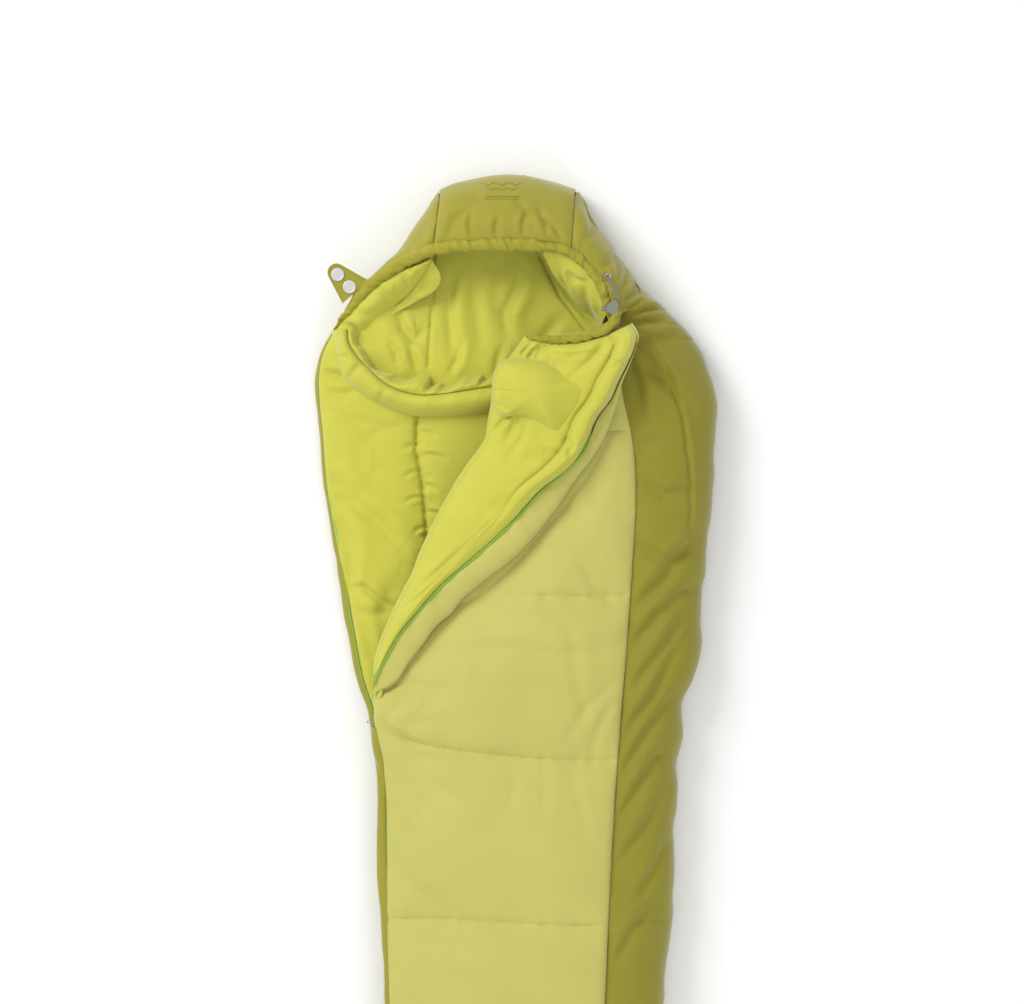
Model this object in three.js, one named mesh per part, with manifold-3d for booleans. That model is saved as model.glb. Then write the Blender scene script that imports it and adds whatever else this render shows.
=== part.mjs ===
// A mummy-shaped sleeping bag lying on its back, unzipped from the neck to just below the waist,
// with the free corner of the quilted top folded back across the chest.
// Millimetres. +Z is up, +Y runs from the foot to the hood, and +X is the wearer's left-hand side
// when seen from above. The origin is on the floor, under the middle of the bag's length.
import * as THREE from "three";
import { mergeVertices } from "three/addons/utils/BufferGeometryUtils.js";
import Module from "manifold-3d";

// ---- driving dimensions ------------------------------------------------------------------
const HOOD_Y = 1076; // crown of the hood
const FOOT_Y = -1074; // end of the footbox
const FABRIC = 1.2; // shell and lining cloth
const GAP = 0.4; // clear space kept between touching pieces
const BASE_LOFT = 41; // padding that the sleeper lies on
const TOP_LOFT = 36; // quilted top and flap
const HOOD_LOFT = 30;
const SEAM_Z = 128; // height of the seam between the top panel and the side panel
const ZIP_EDGE_Z = 92; // height of the top panel where it meets the closed zip
const CHEST_BULGE = 34; // how far the quilted top crowns above its two edges
const FOOT_SEAM_Y = -900; // where the top meets the footbox
const FOOT_Z = 152; // height of the footbox
const NECK_Y = 735; // hem of the top panel
const SHOULDER_Y = 768; // upper end of the side panel
const SLIDER_Y = -24; // where the open and the closed stretch of the zip meet
const ZIP_FOOT_Y = -660; // lower end of the zip
const COLLAR_WIDTH = 66;
const COLLAR_HEIGHT = 48;
const RIM_RADIUS = 11; // drawcord tunnel round the face opening
const CORD = 3; // drawcord diameter
const STUD = 27; // press stud cap diameter
const TAPE = 1.2; // zip tape thickness
const COIL = [5, 7]; // zip coil, across and high
const LOCK = { width: 24, length: 32, height: 13.6 }; // cord lock body

// ---- materials ---------------------------------------------------------------------------
const cloth = (color, roughness = 0.75) => new THREE.MeshStandardMaterial({ color, roughness });
const olive = cloth(0x9c9433);
const paleLime = cloth(0xc8c46c);
const lining = cloth(0xcbc94f);
const batting = cloth(0xf1efe6, 0.95);
const tapeGreen = cloth(0x86b52e, 0.6);
const cordGrey = cloth(0x9a9c92, 0.6);
const coilGreen = new THREE.MeshStandardMaterial({ color: 0x6fa329, roughness: 0.4 });
const lockPlastic = new THREE.MeshStandardMaterial({ color: 0x8f918a, roughness: 0.3 });
const steel = new THREE.MeshStandardMaterial({ color: 0xc9cbcc, roughness: 0.3, metalness: 1 });

// ---- helpers -----------------------------------------------------------------------------
const bag = new THREE.Group();
const point = (x, y, z) => new THREE.Vector3(x, y, z);
const mix = (a, b, t) => a + (b - a) * t;

function add(name, geometry, material, parent = bag) {
  const mesh = new THREE.Mesh(geometry, material);
  mesh.name = name;
  parent.add(mesh);
  return mesh;
}

// A smooth function through [input, value] knots, which are in rising order of input.
function through(knots) {
  return (t) => {
    const last = knots.length - 2;
    const found = knots.findIndex(([at]) => at > t) - 1;
    const i = found < -1 ? last : Math.max(0, Math.min(last, found));
    const [t0, a] = knots[i];
    const [t1, b] = knots[i + 1];
    const slope = (j) => {
      const low = knots[Math.max(0, j - 1)];
      const high = knots[Math.min(knots.length - 1, j + 1)];
      return (high[1] - low[1]) / (high[0] - low[0]);
    };
    const s = Math.max(0, Math.min(1, (t - t0) / (t1 - t0)));
    const w = t1 - t0;
    return (
      (2 * s ** 3 - 3 * s ** 2 + 1) * a + (s ** 3 - 2 * s ** 2 + s) * w * slope(i) +
      (3 * s ** 2 - 2 * s ** 3) * b + (s ** 3 - s ** 2) * w * slope(i + 1)
    );
  };
}

// The closed solid between two surfaces over one grid. inner and outer take u and v from 0 to 1.
function slab(inner, outer, nu, nv) {
  const across = nu + 1;
  const sheet = across * (nv + 1);
  const positions = [];
  for (const surface of [inner, outer])
    for (let j = 0; j <= nv; j++)
      for (let i = 0; i <= nu; i++) positions.push(...surface(i / nu, j / nv).toArray());
  const faces = [];
  const quad = (a, b, c, d) => faces.push(a, b, c, a, c, d);
  const at = (i, j, side) => side * sheet + j * across + i;
  for (let j = 0; j < nv; j++)
    for (let i = 0; i < nu; i++) {
      quad(at(i, j, 1), at(i + 1, j, 1), at(i + 1, j + 1, 1), at(i, j + 1, 1));
      quad(at(i, j, 0), at(i, j + 1, 0), at(i + 1, j + 1, 0), at(i + 1, j, 0));
    }
  for (let i = 0; i < nu; i++) {
    quad(at(i, 0, 0), at(i + 1, 0, 0), at(i + 1, 0, 1), at(i, 0, 1));
    quad(at(i + 1, nv, 0), at(i, nv, 0), at(i, nv, 1), at(i + 1, nv, 1));
  }
  for (let j = 0; j < nv; j++) {
    quad(at(0, j + 1, 0), at(0, j, 0), at(0, j, 1), at(0, j + 1, 1));
    quad(at(nu, j, 0), at(nu, j + 1, 0), at(nu, j + 1, 1), at(nu, j, 1));
  }
  const geometry = new THREE.BufferGeometry();
  geometry.setAttribute("position", new THREE.Float32BufferAttribute(positions, 3));
  geometry.setIndex(volume(positions, faces) < 0 ? flipped(faces) : faces);
  return geometry;
}

function volume(positions, faces) {
  const corner = (k) => new THREE.Vector3().fromArray(positions, 3 * faces[k]);
  let sum = 0;
  for (let k = 0; k < faces.length; k += 3)
    sum += corner(k).dot(corner(k + 1).cross(corner(k + 2))) / 6;
  return sum;
}

function flipped(faces) {
  const turned = [...faces];
  for (let k = 0; k < turned.length; k += 3)
    [turned[k + 1], turned[k + 2]] = [turned[k + 2], turned[k + 1]];
  return turned;
}

// Lining, batting and shell of one quilted panel: three solids between its inner and outer faces.
function quilted(name, inner, outer, nu, nv, shellMaterial, parent = bag) {
  const fromInner = (depth) => (u, v) => {
    const [start, end] = [inner(u, v), outer(u, v)];
    return start.lerp(end, depth / start.distanceTo(end));
  };
  const fromOuter = (depth) => (u, v) => {
    const [start, end] = [outer(u, v), inner(u, v)];
    return start.lerp(end, depth / start.distanceTo(end));
  };
  const cleared = FABRIC + GAP;
  add(`${name}_lining`, slab(inner, fromInner(FABRIC), nu, nv), lining, parent);
  add(`${name}_batting`, slab(fromInner(cleared), fromOuter(cleared), nu, nv), batting, parent);
  add(`${name}_shell`, slab(fromOuter(FABRIC), outer, nu, nv), shellMaterial, parent);
}

// A closed tube with an elliptical section along a path. size(t) gives [width, height] there.
function tube(path, size, sides, steps) {
  const curve = new THREE.CatmullRomCurve3(path);
  const up = point(0, 0, 1);
  const positions = [];
  for (let j = 0; j <= steps; j++) {
    const t = j / steps;
    const centre = curve.getPoint(t);
    const along = curve.getTangent(t);
    const side = along.clone().cross(up).normalize();
    const lift = side.clone().cross(along).normalize();
    const [width, height] = size(t);
    for (let i = 0; i < sides; i++) {
      const turn = (2 * Math.PI * i) / sides;
      const rim = centre.clone()
        .addScaledVector(side, (width / 2) * Math.cos(turn))
        .addScaledVector(lift, (height / 2) * Math.sin(turn));
      positions.push(...rim.toArray());
    }
  }
  const faces = [];
  for (let j = 0; j < steps; j++)
    for (let i = 0; i < sides; i++) {
      const [a, b] = [j * sides + i, j * sides + ((i + 1) % sides)];
      faces.push(a, b, b + sides, a, b + sides, a + sides);
    }
  const end = steps * sides;
  for (let i = 1; i < sides - 1; i++) {
    faces.push(0, i + 1, i);
    faces.push(end, end + i, end + i + 1);
  }
  const geometry = new THREE.BufferGeometry();
  geometry.setAttribute("position", new THREE.Float32BufferAttribute(positions, 3));
  geometry.setIndex(volume(positions, faces) < 0 ? flipped(faces) : faces);
  return geometry;
}

const round = (diameter) => () => [diameter, diameter];

// A flat strip of tape along a path, standing or lying as the side vector says.
function strip(path, side, width, thickness, steps) {
  const curve = new THREE.CatmullRomCurve3(path);
  const face = (lift) => (u, v) => {
    const along = curve.getTangent(v);
    const normal = along.clone().cross(side).normalize();
    return curve.getPoint(v).addScaledVector(side, (u - 0.5) * width).addScaledVector(normal, lift);
  };
  return slab(face(-thickness / 2), face(thickness / 2), 1, steps);
}

const wasm = await Module();
wasm.setup();

// Joins or cuts two closed geometries: how is "add" or "subtract".
function combine(first, how, second) {
  const [a, b] = [first, second].map((geometry) => {
    const bare = geometry.clone().deleteAttribute("normal").deleteAttribute("uv");
    const merged = mergeVertices(bare, 1e-4);
    const triVerts = new Uint32Array(merged.index.array);
    const vertProperties = merged.attributes.position.array;
    return new wasm.Manifold(new wasm.Mesh({ numProp: 3, vertProperties, triVerts }));
  });
  const { vertProperties, triVerts } = a[how](b).getMesh();
  const geometry = new THREE.BufferGeometry();
  geometry.setAttribute("position", new THREE.BufferAttribute(vertProperties, 3));
  geometry.setIndex(new THREE.BufferAttribute(triVerts, 1));
  return geometry;
}

function roundedRectangle(width, height, radius) {
  const [x, y] = [width / 2 - radius, height / 2 - radius];
  const shape = new THREE.Shape();
  shape.absarc(x, y, radius, 0, Math.PI / 2);
  shape.absarc(-x, y, radius, Math.PI / 2, Math.PI);
  shape.absarc(-x, -y, radius, Math.PI, 1.5 * Math.PI);
  shape.absarc(x, -y, radius, 1.5 * Math.PI, 2 * Math.PI);
  return shape;
}

const extrude = (shape, depth, curveSegments = 3) =>
  new THREE.ExtrudeGeometry(shape, { depth, curveSegments, bevelEnabled: false });

// ---- the outline of the bag, seen from above -----------------------------------------------
const rightEdge = through([
  [-1074, 120], [-1030, 212], [-900, 266], [-620, 292], [-280, 318], [0, 334], [160, 358],
  [400, 389], [560, 398], [640, 390], [720, 364], [800, 304], [880, 238], [960, 178],
  [1040, 130], [1076, 60],
]);
const leftEdge = through([
  [-1074, -90], [-1030, -178], [-900, -232], [-620, -250], [-280, -268], [-110, -272], [0, -294],
  [240, -350], [560, -386], [640, -398], [720, -382], [800, -332], [880, -254], [960, -198],
  [1040, -146], [1076, -60],
]);
const seamX = through([
  [-900, 168], [-600, 184], [-290, 198], [40, 226], [300, 240], [460, 246], [620, 232], [768, 200],
]);

// ---- base: what the sleeper lies on --------------------------------------------------------
function floorPlan(inset) {
  const steps = 34;
  const rows = Array.from({ length: steps + 1 }, (_, k) => {
    const t = (1 - Math.cos((Math.PI * k) / steps)) / 2;
    return mix(FOOT_Y + inset, HOOD_Y - inset, t);
  });
  const right = rows.map((y) => new THREE.Vector2(rightEdge(y) - inset, y));
  const left = rows.map((y) => new THREE.Vector2(leftEdge(y) + inset, y)).reverse();
  return new THREE.Shape([...right, ...left]);
}

function flatLayer(name, inset, low, high, material) {
  const depth = high - low;
  const geometry = new THREE.ExtrudeGeometry(floorPlan(inset), { depth, bevelEnabled: false });
  add(name, geometry, material).position.z = low;
}

const WALL = 2.4; // the base's side wall: shell cloth and its seam allowance
flatLayer("base_shell", 2, 0, FABRIC, olive);
flatLayer("base_batting", 4 + WALL, FABRIC + GAP, BASE_LOFT - FABRIC - GAP, batting);
flatLayer("base_lining", 4 + WALL, BASE_LOFT - FABRIC, BASE_LOFT, lining);
const wallPlan = floorPlan(3);
wallPlan.holes.push(new THREE.Path(floorPlan(3 + WALL).getPoints()));
const wallDepth = BASE_LOFT - FABRIC - 2 * GAP;
const wall = new THREE.ExtrudeGeometry(wallPlan, { depth: wallDepth, bevelEnabled: false });
add("base_side_wall", wall, olive).position.z = FABRIC + GAP;
const ON_BASE = BASE_LOFT + GAP;

// ---- the zip: open above the slider, closed below it ---------------------------------------
const zipHigh = point(-262, -10, 62);
const zipLow = point(-240, ZIP_FOOT_Y, 62);
const zipAt = (y) => zipHigh.clone().lerp(zipLow, (y - zipHigh.y) / (zipLow.y - zipHigh.y));

// ---- the fold that the flap hinges on -------------------------------------------------------
const foldLow = point(-280, 20, 98);
const foldHigh = point(36, 740, 150);
const foldAlong = foldHigh.clone().sub(foldLow).normalize();
const foldAcross = point(foldAlong.y, -foldAlong.x, 0).normalize();
const foldUp = foldAcross.clone().cross(foldAlong);
const onFlap = (a, b, h) => foldLow.clone()
  .addScaledVector(foldAlong, a).addScaledVector(foldAcross, b).addScaledVector(foldUp, h);
const foldX = (y) => mix(foldLow.x, foldHigh.x, (y - foldLow.y) / (foldHigh.y - foldLow.y));

const foldRun = point(foldAlong.x, foldAlong.y, 0);
const foldSlope = foldAlong.z / foldRun.length();
foldRun.normalize();
// Height of the plane that the folded flap lies on.
const flapPlane = (x, y) => foldLow.z + foldSlope * point(x - foldLow.x, y - foldLow.y, 0).dot(foldRun);
// How far the flap reaches from its fold, by the distance along the fold.
const flapReach = through([
  [0, 2], [70, 14], [255, 38], [386, 88], [518, 139], [614, 180], [684, 194], [760, 196], [876, 188],
]);

// ---- quilted top, attached part --------------------------------------------------------------
const FOLD_CLEAR = 10; // the top panel stops this far short of the fold line
const ZIP_CLEAR = 7; // and this far inside the closed zip
const SEAM_GAP = 1.2; // room on each side of a seam between two panels
const UNDER_FLAP = 4; // room under the folded flap
const FLAP_MARGIN = 24; // the panel keeps low this far past the flap's free edge
const FLAP_SLOPE = 0.3; // then rises this steeply
const topLeft = (y) => Math.max(zipAt(y).x + ZIP_CLEAR, foldX(Math.max(y, foldLow.y)) + FOLD_CLEAR);

// The highest that the top panel may stand at a place, for the flap lies over part of it.
function ceiling(x, y) {
  const offset = point(x - foldLow.x, y - foldLow.y, 0);
  const past = foldAcross.dot(offset) - flapReach(foldRun.dot(offset)) - FLAP_MARGIN;
  const before = -foldRun.dot(offset);
  return flapPlane(x, y) - UNDER_FLAP + FLAP_SLOPE * (Math.max(0, past) + Math.max(0, before));
}

function topFace(drop) {
  return (u, v) => {
    const y = mix(FOOT_SEAM_Y + SEAM_GAP, NECK_Y, v);
    const x = mix(topLeft(y), seamX(y) - SEAM_GAP, u);
    const above = Math.max(0, Math.min(1, (y - foldLow.y) / (foldHigh.y - foldLow.y)));
    const edge = mix(ZIP_EDGE_Z, foldHigh.z - UNDER_FLAP, above);
    const crown = mix(edge, SEAM_Z, u) + CHEST_BULGE * (1 - 0.4 * above) * (1 - (2 * u - 1) ** 4);
    return point(x, y, Math.min(crown, ceiling(x, y)) - drop);
  };
}
quilted("top_panel", topFace(TOP_LOFT), topFace(0), 8, 18, paleLime);

function sideFace(inset) {
  return (u, v) => {
    const y = mix(FOOT_SEAM_Y + SEAM_GAP, SHOULDER_Y, v);
    const turn = (Math.PI / 2) * u;
    const start = seamX(y) + SEAM_GAP;
    const reach = rightEdge(y) - 4 - inset - start;
    const rise = SEAM_Z - inset - ON_BASE;
    return point(start + reach * Math.sin(turn) ** 0.8, y, ON_BASE + rise * Math.cos(turn) ** 0.8);
  };
}
quilted("side_panel", sideFace(TOP_LOFT), sideFace(0), 5, 14, olive);

// ---- footbox: an arch over the feet and the wall that ends it ------------------------------
const FOOT_WALL_Y = FOOT_Y + TOP_LOFT + 6;
const footMiddle = (rightEdge(FOOT_SEAM_Y) + leftEdge(FOOT_SEAM_Y)) / 2;

function footArch(inset) {
  return (u, v) => {
    const y = mix(FOOT_SEAM_Y - SEAM_GAP, FOOT_WALL_Y, v);
    const side = Math.PI * (1 - u);
    const half = (rightEdge(y) - leftEdge(y)) / 2 - 6 - inset;
    const rise = mix(FOOT_Z, FOOT_Z - 34, v ** 2) - inset - ON_BASE;
    const lean = Math.sign(Math.cos(side)) * Math.abs(Math.cos(side)) ** 0.8;
    return point(footMiddle + half * lean, y, ON_BASE + rise * Math.sin(side) ** 0.7);
  };
}
quilted("footbox", footArch(TOP_LOFT), footArch(0), 10, 4, olive);

function footWall(depth, half, height) {
  return (u, v) => {
    const side = Math.PI * mix(0.88, 0.12, u);
    const z = mix(ON_BASE, ON_BASE + height * Math.sin(side) ** 0.7, v);
    return point(footMiddle + half * Math.cos(side), FOOT_WALL_Y - GAP - depth, z);
  };
}
quilted("foot_wall", footWall(1, 176, 62), footWall(TOP_LOFT, 128, 46), 6, 2, olive);

// ---- hood ----------------------------------------------------------------------------------
const hoodFoot = new THREE.CatmullRomCurve3([
  point(-326, 802, ON_BASE), point(-250, 882, ON_BASE), point(-196, 960, ON_BASE),
  point(-146, 1036, ON_BASE), point(-60, 1068, ON_BASE), point(50, 1068, ON_BASE),
  point(128, 1036, ON_BASE), point(174, 960, ON_BASE), point(232, 882, ON_BASE),
  point(322, 778, ON_BASE),
]);
const hoodRim = new THREE.CatmullRomCurve3([
  point(-286, 820, 90), point(-224, 872, 112), point(-144, 912, 140), point(-64, 926, 158),
  point(16, 928, 164), point(96, 914, 162), point(146, 884, 158), point(178, 840, 154),
  point(196, 786, 150),
]);
const beside = (curve, t, distance) => {
  const along = curve.getTangent(t);
  return curve.getPoint(t).addScaledVector(point(-along.y, along.x, 0).normalize(), distance);
};

function hoodFace(from, to, inset) {
  return (u, v) => {
    const t = mix(from, to, u);
    const turn = (Math.PI / 2) * v;
    const low = hoodFoot.getPoint(t);
    const high = beside(hoodRim, t, RIM_RADIUS + 1);
    const flat = high.clone().sub(low).setZ(0);
    const depth = inset * Math.min(1, 0.3 + 4 * t); // the padding thins out towards the zip
    const shift = mix(depth, flat.length(), 1 - Math.cos(turn));
    const rise = Math.sin(turn) * (high.z - depth - ON_BASE);
    return low.clone().addScaledVector(flat.normalize(), shift).setZ(ON_BASE + rise);
  };
}
const HOOD_SEAMS = [0.03, 0.33, 0.67, 1];
["hood_left", "hood_middle", "hood_right"].forEach((name, k) => {
  const [from, to] = [HOOD_SEAMS[k] + 0.002, HOOD_SEAMS[k + 1] - 0.002];
  quilted(name, hoodFace(from, to, HOOD_LOFT), hoodFace(from, to, 0), 6, 4, olive);
});
add("hood_rim_tunnel", tube(hoodRim.getPoints(20), round(2 * RIM_RADIUS - 1), 8, 20), olive);
const ROLL = 30; // soft roll of lining inside the left of the face opening
const rollPath = [0.06, 0.16, 0.26, 0.36].map((t) => beside(hoodRim, t, -28).add(point(0, 0, -12)));
add("hood_side_roll", tube(rollPath, (t) => [ROLL * mix(1, 0.6, t), ROLL * mix(1, 0.6, t)], 8, 8), lining);

// ---- draft collar round the neck, rear half, sewn to the base ----------------------------------
const collarZ = ON_BASE + COLLAR_HEIGHT / 2;
const collarPath = [
  point(-336, 748, collarZ), point(-306, 692, collarZ), point(-256, 652, collarZ),
  point(-174, 626, collarZ), point(-34, 626, collarZ), point(90, 642, collarZ),
  point(186, 720, collarZ),
];
const collarSize = (t) => {
  const full = Math.sin(Math.PI * mix(0.12, 0.88, t)) ** 0.4;
  return [COLLAR_WIDTH * full, COLLAR_HEIGHT * full];
};
add("neck_collar", tube(collarPath, collarSize, 10, 18), lining);

// ---- flap: the free corner of the top, folded back with its lining up --------------------------
const flap = new THREE.Group();
bag.add(flap);
const FLAP_START = 70; // along the fold, where the flap first has any width
const FLAP_END = 783;
const FLAP_ROOT = 6; // clear of the fold line
const FLAP_LIFT = 2; // the flap's shell above the plane it folds on
const hemAlong = (b) => FLAP_END + 95 * (b / 190) ** 1.2;

function flapFace(level) {
  return (u, v) => {
    const tip = flapReach(mix(FLAP_START, 868, v));
    const b = mix(FLAP_ROOT, tip, u);
    const a = mix(FLAP_START, mix(hemAlong(b), FLAP_END, 0), v);
    const thick = mix(9, TOP_LOFT, Math.min(1, tip / 110) * Math.sin(Math.PI * mix(0.1, 0.75, u)));
    return onFlap(a, b, FLAP_LIFT + level * thick);
  };
}
quilted("flap", flapFace(1), flapFace(0), 5, 12, paleLime, flap);

const onLining = (u, v, lift) => flapFace(1)(u, v).addScaledVector(foldUp, lift);
const range = (from, to, steps) => Array.from({ length: steps + 1 }, (_, k) => mix(from, to, k / steps));

const LOBE_HEIGHT = 26; // front half of the neck collar, lying on the flap's lining
const lobePath = range(0.12, 0.7, 4).map((u) => onLining(u, 0.86, LOBE_HEIGHT / 2 + 2.5));
const lobeSize = (t) => {
  const full = Math.sin(Math.PI * mix(0.1, 0.9, t)) ** 0.5;
  return [104 * full, LOBE_HEIGHT * full];
};
add("flap_collar", tube(lobePath, lobeSize, 10, 8), lining, flap);

const DRAFT_TUBE = [20, 12];
const draftPath = range(0.4, 0.97, 8).map((v) => onLining(0.86, v, DRAFT_TUBE[1] / 2 + 2));
add("flap_draft_tube", tube(draftPath, () => DRAFT_TUBE, 8, 14), lining, flap);

const HEM = 26; // gathered drawcord hem along the neck edge of the flap
const hemPath = range(0.04, 0.97, 5).map((u) =>
  flapFace(0.5)(u, 1).addScaledVector(foldAlong, HEM / 2 + 4));
const hemSize = (t) => [mix(0.5, 1, Math.min(1, 3 * t)) * HEM, mix(0.5, 1, Math.min(1, 3 * t)) * HEM];
add("flap_hem", tube(hemPath, hemSize, 8, 10), olive, flap);

const besideFlap = (v, out, down) =>
  flapFace(1)(1, v).addScaledVector(foldAcross, out).addScaledVector(foldUp, -down);
const flapTape = range(0.04, 0.98, 14).map((v) => besideFlap(v, 8, 2));
const flapCoil = range(0.04, 0.98, 14).map((v) => besideFlap(v, 13, 2 - TAPE - COIL[1] / 2));
add("flap_zip_tape", strip(flapTape, foldAcross, 13, TAPE, 18), tapeGreen, flap);
add("flap_zip_coil", tube(flapCoil, () => COIL, 6, 22), coilGreen, flap);
const stopAt = besideFlap(0.98, 12, 2).addScaledVector(foldAlong, 5);
const STOP = [8, 6, 6];
add("flap_zip_stop", new THREE.BoxGeometry(...STOP), steel, flap).position.copy(stopAt);

// ---- the open half of the zip on the base, and the closed zip below the slider -----------------
const onEdge = (y, inwards, z) => point(leftEdge(y) + inwards, y, z);
const openRows = range(0, 724, 16);
const tapeZ = ON_BASE + TAPE;
const baseTape = openRows.map((y) => onEdge(y, 14, tapeZ));
const baseCoil = openRows.map((y) => onEdge(y, 10, tapeZ + TAPE + COIL[1] / 2));
add("base_zip_tape", strip(baseTape, point(1, 0, 0), 14, TAPE, 20), tapeGreen);
add("base_zip_coil", tube(baseCoil, () => COIL, 6, 24), coilGreen);
const baseStop = add("base_zip_stop", new THREE.BoxGeometry(...STOP), steel);
baseStop.position.copy(onEdge(732, 13, tapeZ + STOP[2] / 2));

const zipDown = zipLow.clone().sub(zipHigh).normalize();
const coilOut = TAPE / 2 + 0.9 + COIL[0] / 2; // from the tape's middle to the coil's middle
const closedTape = [zipAt(-30), zipAt(ZIP_FOOT_Y)];
const closedCoil = closedTape.map((at) => at.clone().add(point(-coilOut, 0, 0)));
add("closed_zip_tape", strip(closedTape, point(0, 0, 1), 30, TAPE, 4), tapeGreen);
add("closed_zip_coil", tube(closedCoil, () => COIL, 8, 4), coilGreen);
const footStop = add("zip_foot_stop", new THREE.BoxGeometry(...STOP), steel);
footStop.position.copy(closedCoil[1]).addScaledVector(zipDown, 4);

// ---- zip slider: a channel round the coil with a bridge that holds the pull ----------------------
const SLIDER = { length: 19, height: 12.6, wall: 1.9 };
const slider = new THREE.Group();
slider.position.copy(zipAt(SLIDER_Y)).add(point(-coilOut, 0, 0));
slider.rotation.z = Math.atan2(zipDown.x, -zipDown.y);
bag.add(slider);

function sliderBody() {
  const lip = COIL[0] / 2 + 0.4;
  const back = -lip - 0.6;
  const half = SLIDER.height / 2;
  const section = new THREE.Shape([
    [lip, half], [back - SLIDER.wall, half], [back - SLIDER.wall, -half], [lip, -half],
    [lip, -half + SLIDER.wall], [back, -half + SLIDER.wall],
    [back, half - SLIDER.wall], [lip, half - SLIDER.wall],
  ].map(([x, y]) => new THREE.Vector2(x, y)));
  const channel = extrude(section, SLIDER.length).translate(0, 0, -SLIDER.length / 2);
  const arch = new THREE.Shape([
    new THREE.Vector2(0, -7.5), new THREE.Vector2(0, 7.5), new THREE.Vector2(-6.4, 5.5),
    new THREE.Vector2(-6.4, -5.5),
  ]);
  arch.holes.push(new THREE.Path([
    new THREE.Vector2(-0.2, -5.6), new THREE.Vector2(-4.8, -4.2), new THREE.Vector2(-4.8, 4.2),
    new THREE.Vector2(-0.2, 5.6),
  ]));
  const bridge = extrude(arch, 4).translate(back - SLIDER.wall + 0.1, 0, -2);
  return combine(channel.rotateX(Math.PI / 2), "add", bridge);
}
add("zip_slider", sliderBody(), steel, slider);

const pull = new THREE.Group();
pull.position.x = -8.4;
slider.add(pull);

function pullTab() {
  const plate = extrude(roundedRectangle(12, 10, 2), 1.6, 4).translate(4.8, 0, 0);
  const window = extrude(roundedRectangle(8.4, 6, 1), 4, 2).translate(5.3, 0, -1);
  const ring = new THREE.TorusGeometry(3.2, 1.1, 8, 18).rotateX(Math.PI / 2).translate(13.6, 0, 0.8);
  return combine(combine(plate, "subtract", window), "add", ring);
}
add("zip_pull", pullTab().translate(0, 0, -0.8).rotateX(Math.PI / 2).rotateZ(Math.PI), steel, pull);

// ---- press-stud tab at the left end of the rim ---------------------------------------------------
const tabRoot = [point(-338, 812, 92), point(-284, 858, 92)];
const tabLine = tabRoot[1].clone().sub(tabRoot[0]).normalize();
const neckTab = new THREE.Group();
neckTab.position.copy(tabRoot[0]);
neckTab.rotation.z = Math.atan2(tabLine.y, tabLine.x);
bag.add(neckTab);
const TAB = { root: 70, tipAlong: 31, tipOut: 57, tipRadius: 18, thickness: 2.4 };
const tabShape = new THREE.Shape();
tabShape.moveTo(0, 2);
tabShape.lineTo(TAB.root, 2);
tabShape.absarc(TAB.tipAlong, TAB.tipOut, TAB.tipRadius, 0.12 * Math.PI, 0.92 * Math.PI);
add("neck_tab", extrude(tabShape, TAB.thickness, 6), olive, neckTab);

function studCap(diameter) {
  const profile = [
    [0, 0], [0.44, 0], [0.5, 0.03], [0.48, 0.08], [0.42, 0.1], [0.36, 0.085], [0, 0.085],
  ];
  const points = profile.map(([r, z]) => new THREE.Vector2(r * diameter, z * diameter));
  return new THREE.LatheGeometry(points, 24).rotateX(Math.PI / 2);
}
add("tab_stud_upper", studCap(STUD), steel, neckTab).position.set(30, 52, TAB.thickness + 0.4);
add("tab_stud_lower", studCap(STUD), steel, neckTab).position.set(32, 18, TAB.thickness + 0.4);

// ---- drawcord, its eyelet and the spring lock ------------------------------------------------------
const eyeletAt = point(190, 864, 156);
const eyeletProfile = [[4.4, 0], [7, 0], [7, 1], [6, 2], [4.4, 1.4], [4.4, 0]];
const eyeletRing = new THREE.LatheGeometry(eyeletProfile.map(([r, z]) => new THREE.Vector2(r, z)), 14);
add("cord_eyelet", eyeletRing.rotateX(Math.PI / 2), steel).position.copy(eyeletAt);

const LOCK_AT = point(200, 800, 171);
const nearStrand = [
  eyeletAt.clone().add(point(-1.9, 0, 1.5)), point(196.4, 849, 166), point(202.6, 838, LOCK_AT.z),
  point(202.6, 800, LOCK_AT.z), point(202.6, 781, LOCK_AT.z), point(196, 773, 174),
];
const farStrand = [
  eyeletAt.clone().add(point(1.9, 0, 1.5)), point(200.2, 849, 166), point(206.4, 838, LOCK_AT.z),
  point(206.4, 800, LOCK_AT.z), point(206.4, 776, LOCK_AT.z),
];
add("drawcord_tail_strand", tube(nearStrand, round(CORD), 8, 16), cordGrey);
add("drawcord_loop_strand", tube(farStrand, round(CORD), 8, 14), cordGrey);

const lock = new THREE.Group();
lock.position.copy(LOCK_AT);
bag.add(lock);

const lockOutline = new THREE.Shape([
  [-12, -6.6], [-5, -11], [1, -16], [8, -16], [12, -9], [12, 9], [7, 16], [-1, 16], [-7, 10],
  [-12, 6.6],
].map(([x, y]) => new THREE.Vector2(x, y)));

function lockBody() {
  const chamfer = { bevelThickness: 2, bevelSize: 2, bevelOffset: -2, bevelSegments: 1 };
  const settings = { depth: LOCK.height - 4, curveSegments: 4, ...chamfer };
  const block = new THREE.ExtrudeGeometry(lockOutline, settings).translate(0, 0, 2 - LOCK.height / 2);
  const slot = new THREE.BoxGeometry(9.6, LOCK.length + 4, 5.6).translate(4.6, 0, 0);
  const bore = new THREE.CylinderGeometry(4.6, 4.6, 12, 16).rotateZ(Math.PI / 2);
  const slotted = combine(block, "subtract", slot);
  return combine(slotted, "subtract", bore.translate(-LOCK.width / 2 + 5, 0, 0));
}
add("cord_lock", lockBody(), lockPlastic, lock);
const buttonProfile = [[0, 0], [4, 0], [4, 10.5], [5.6, 10.5], [5.6, 14], [3.6, 16], [0, 16.4]];
const button = new THREE.LatheGeometry(buttonProfile.map(([r, z]) => new THREE.Vector2(r, z)), 16);
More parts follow.
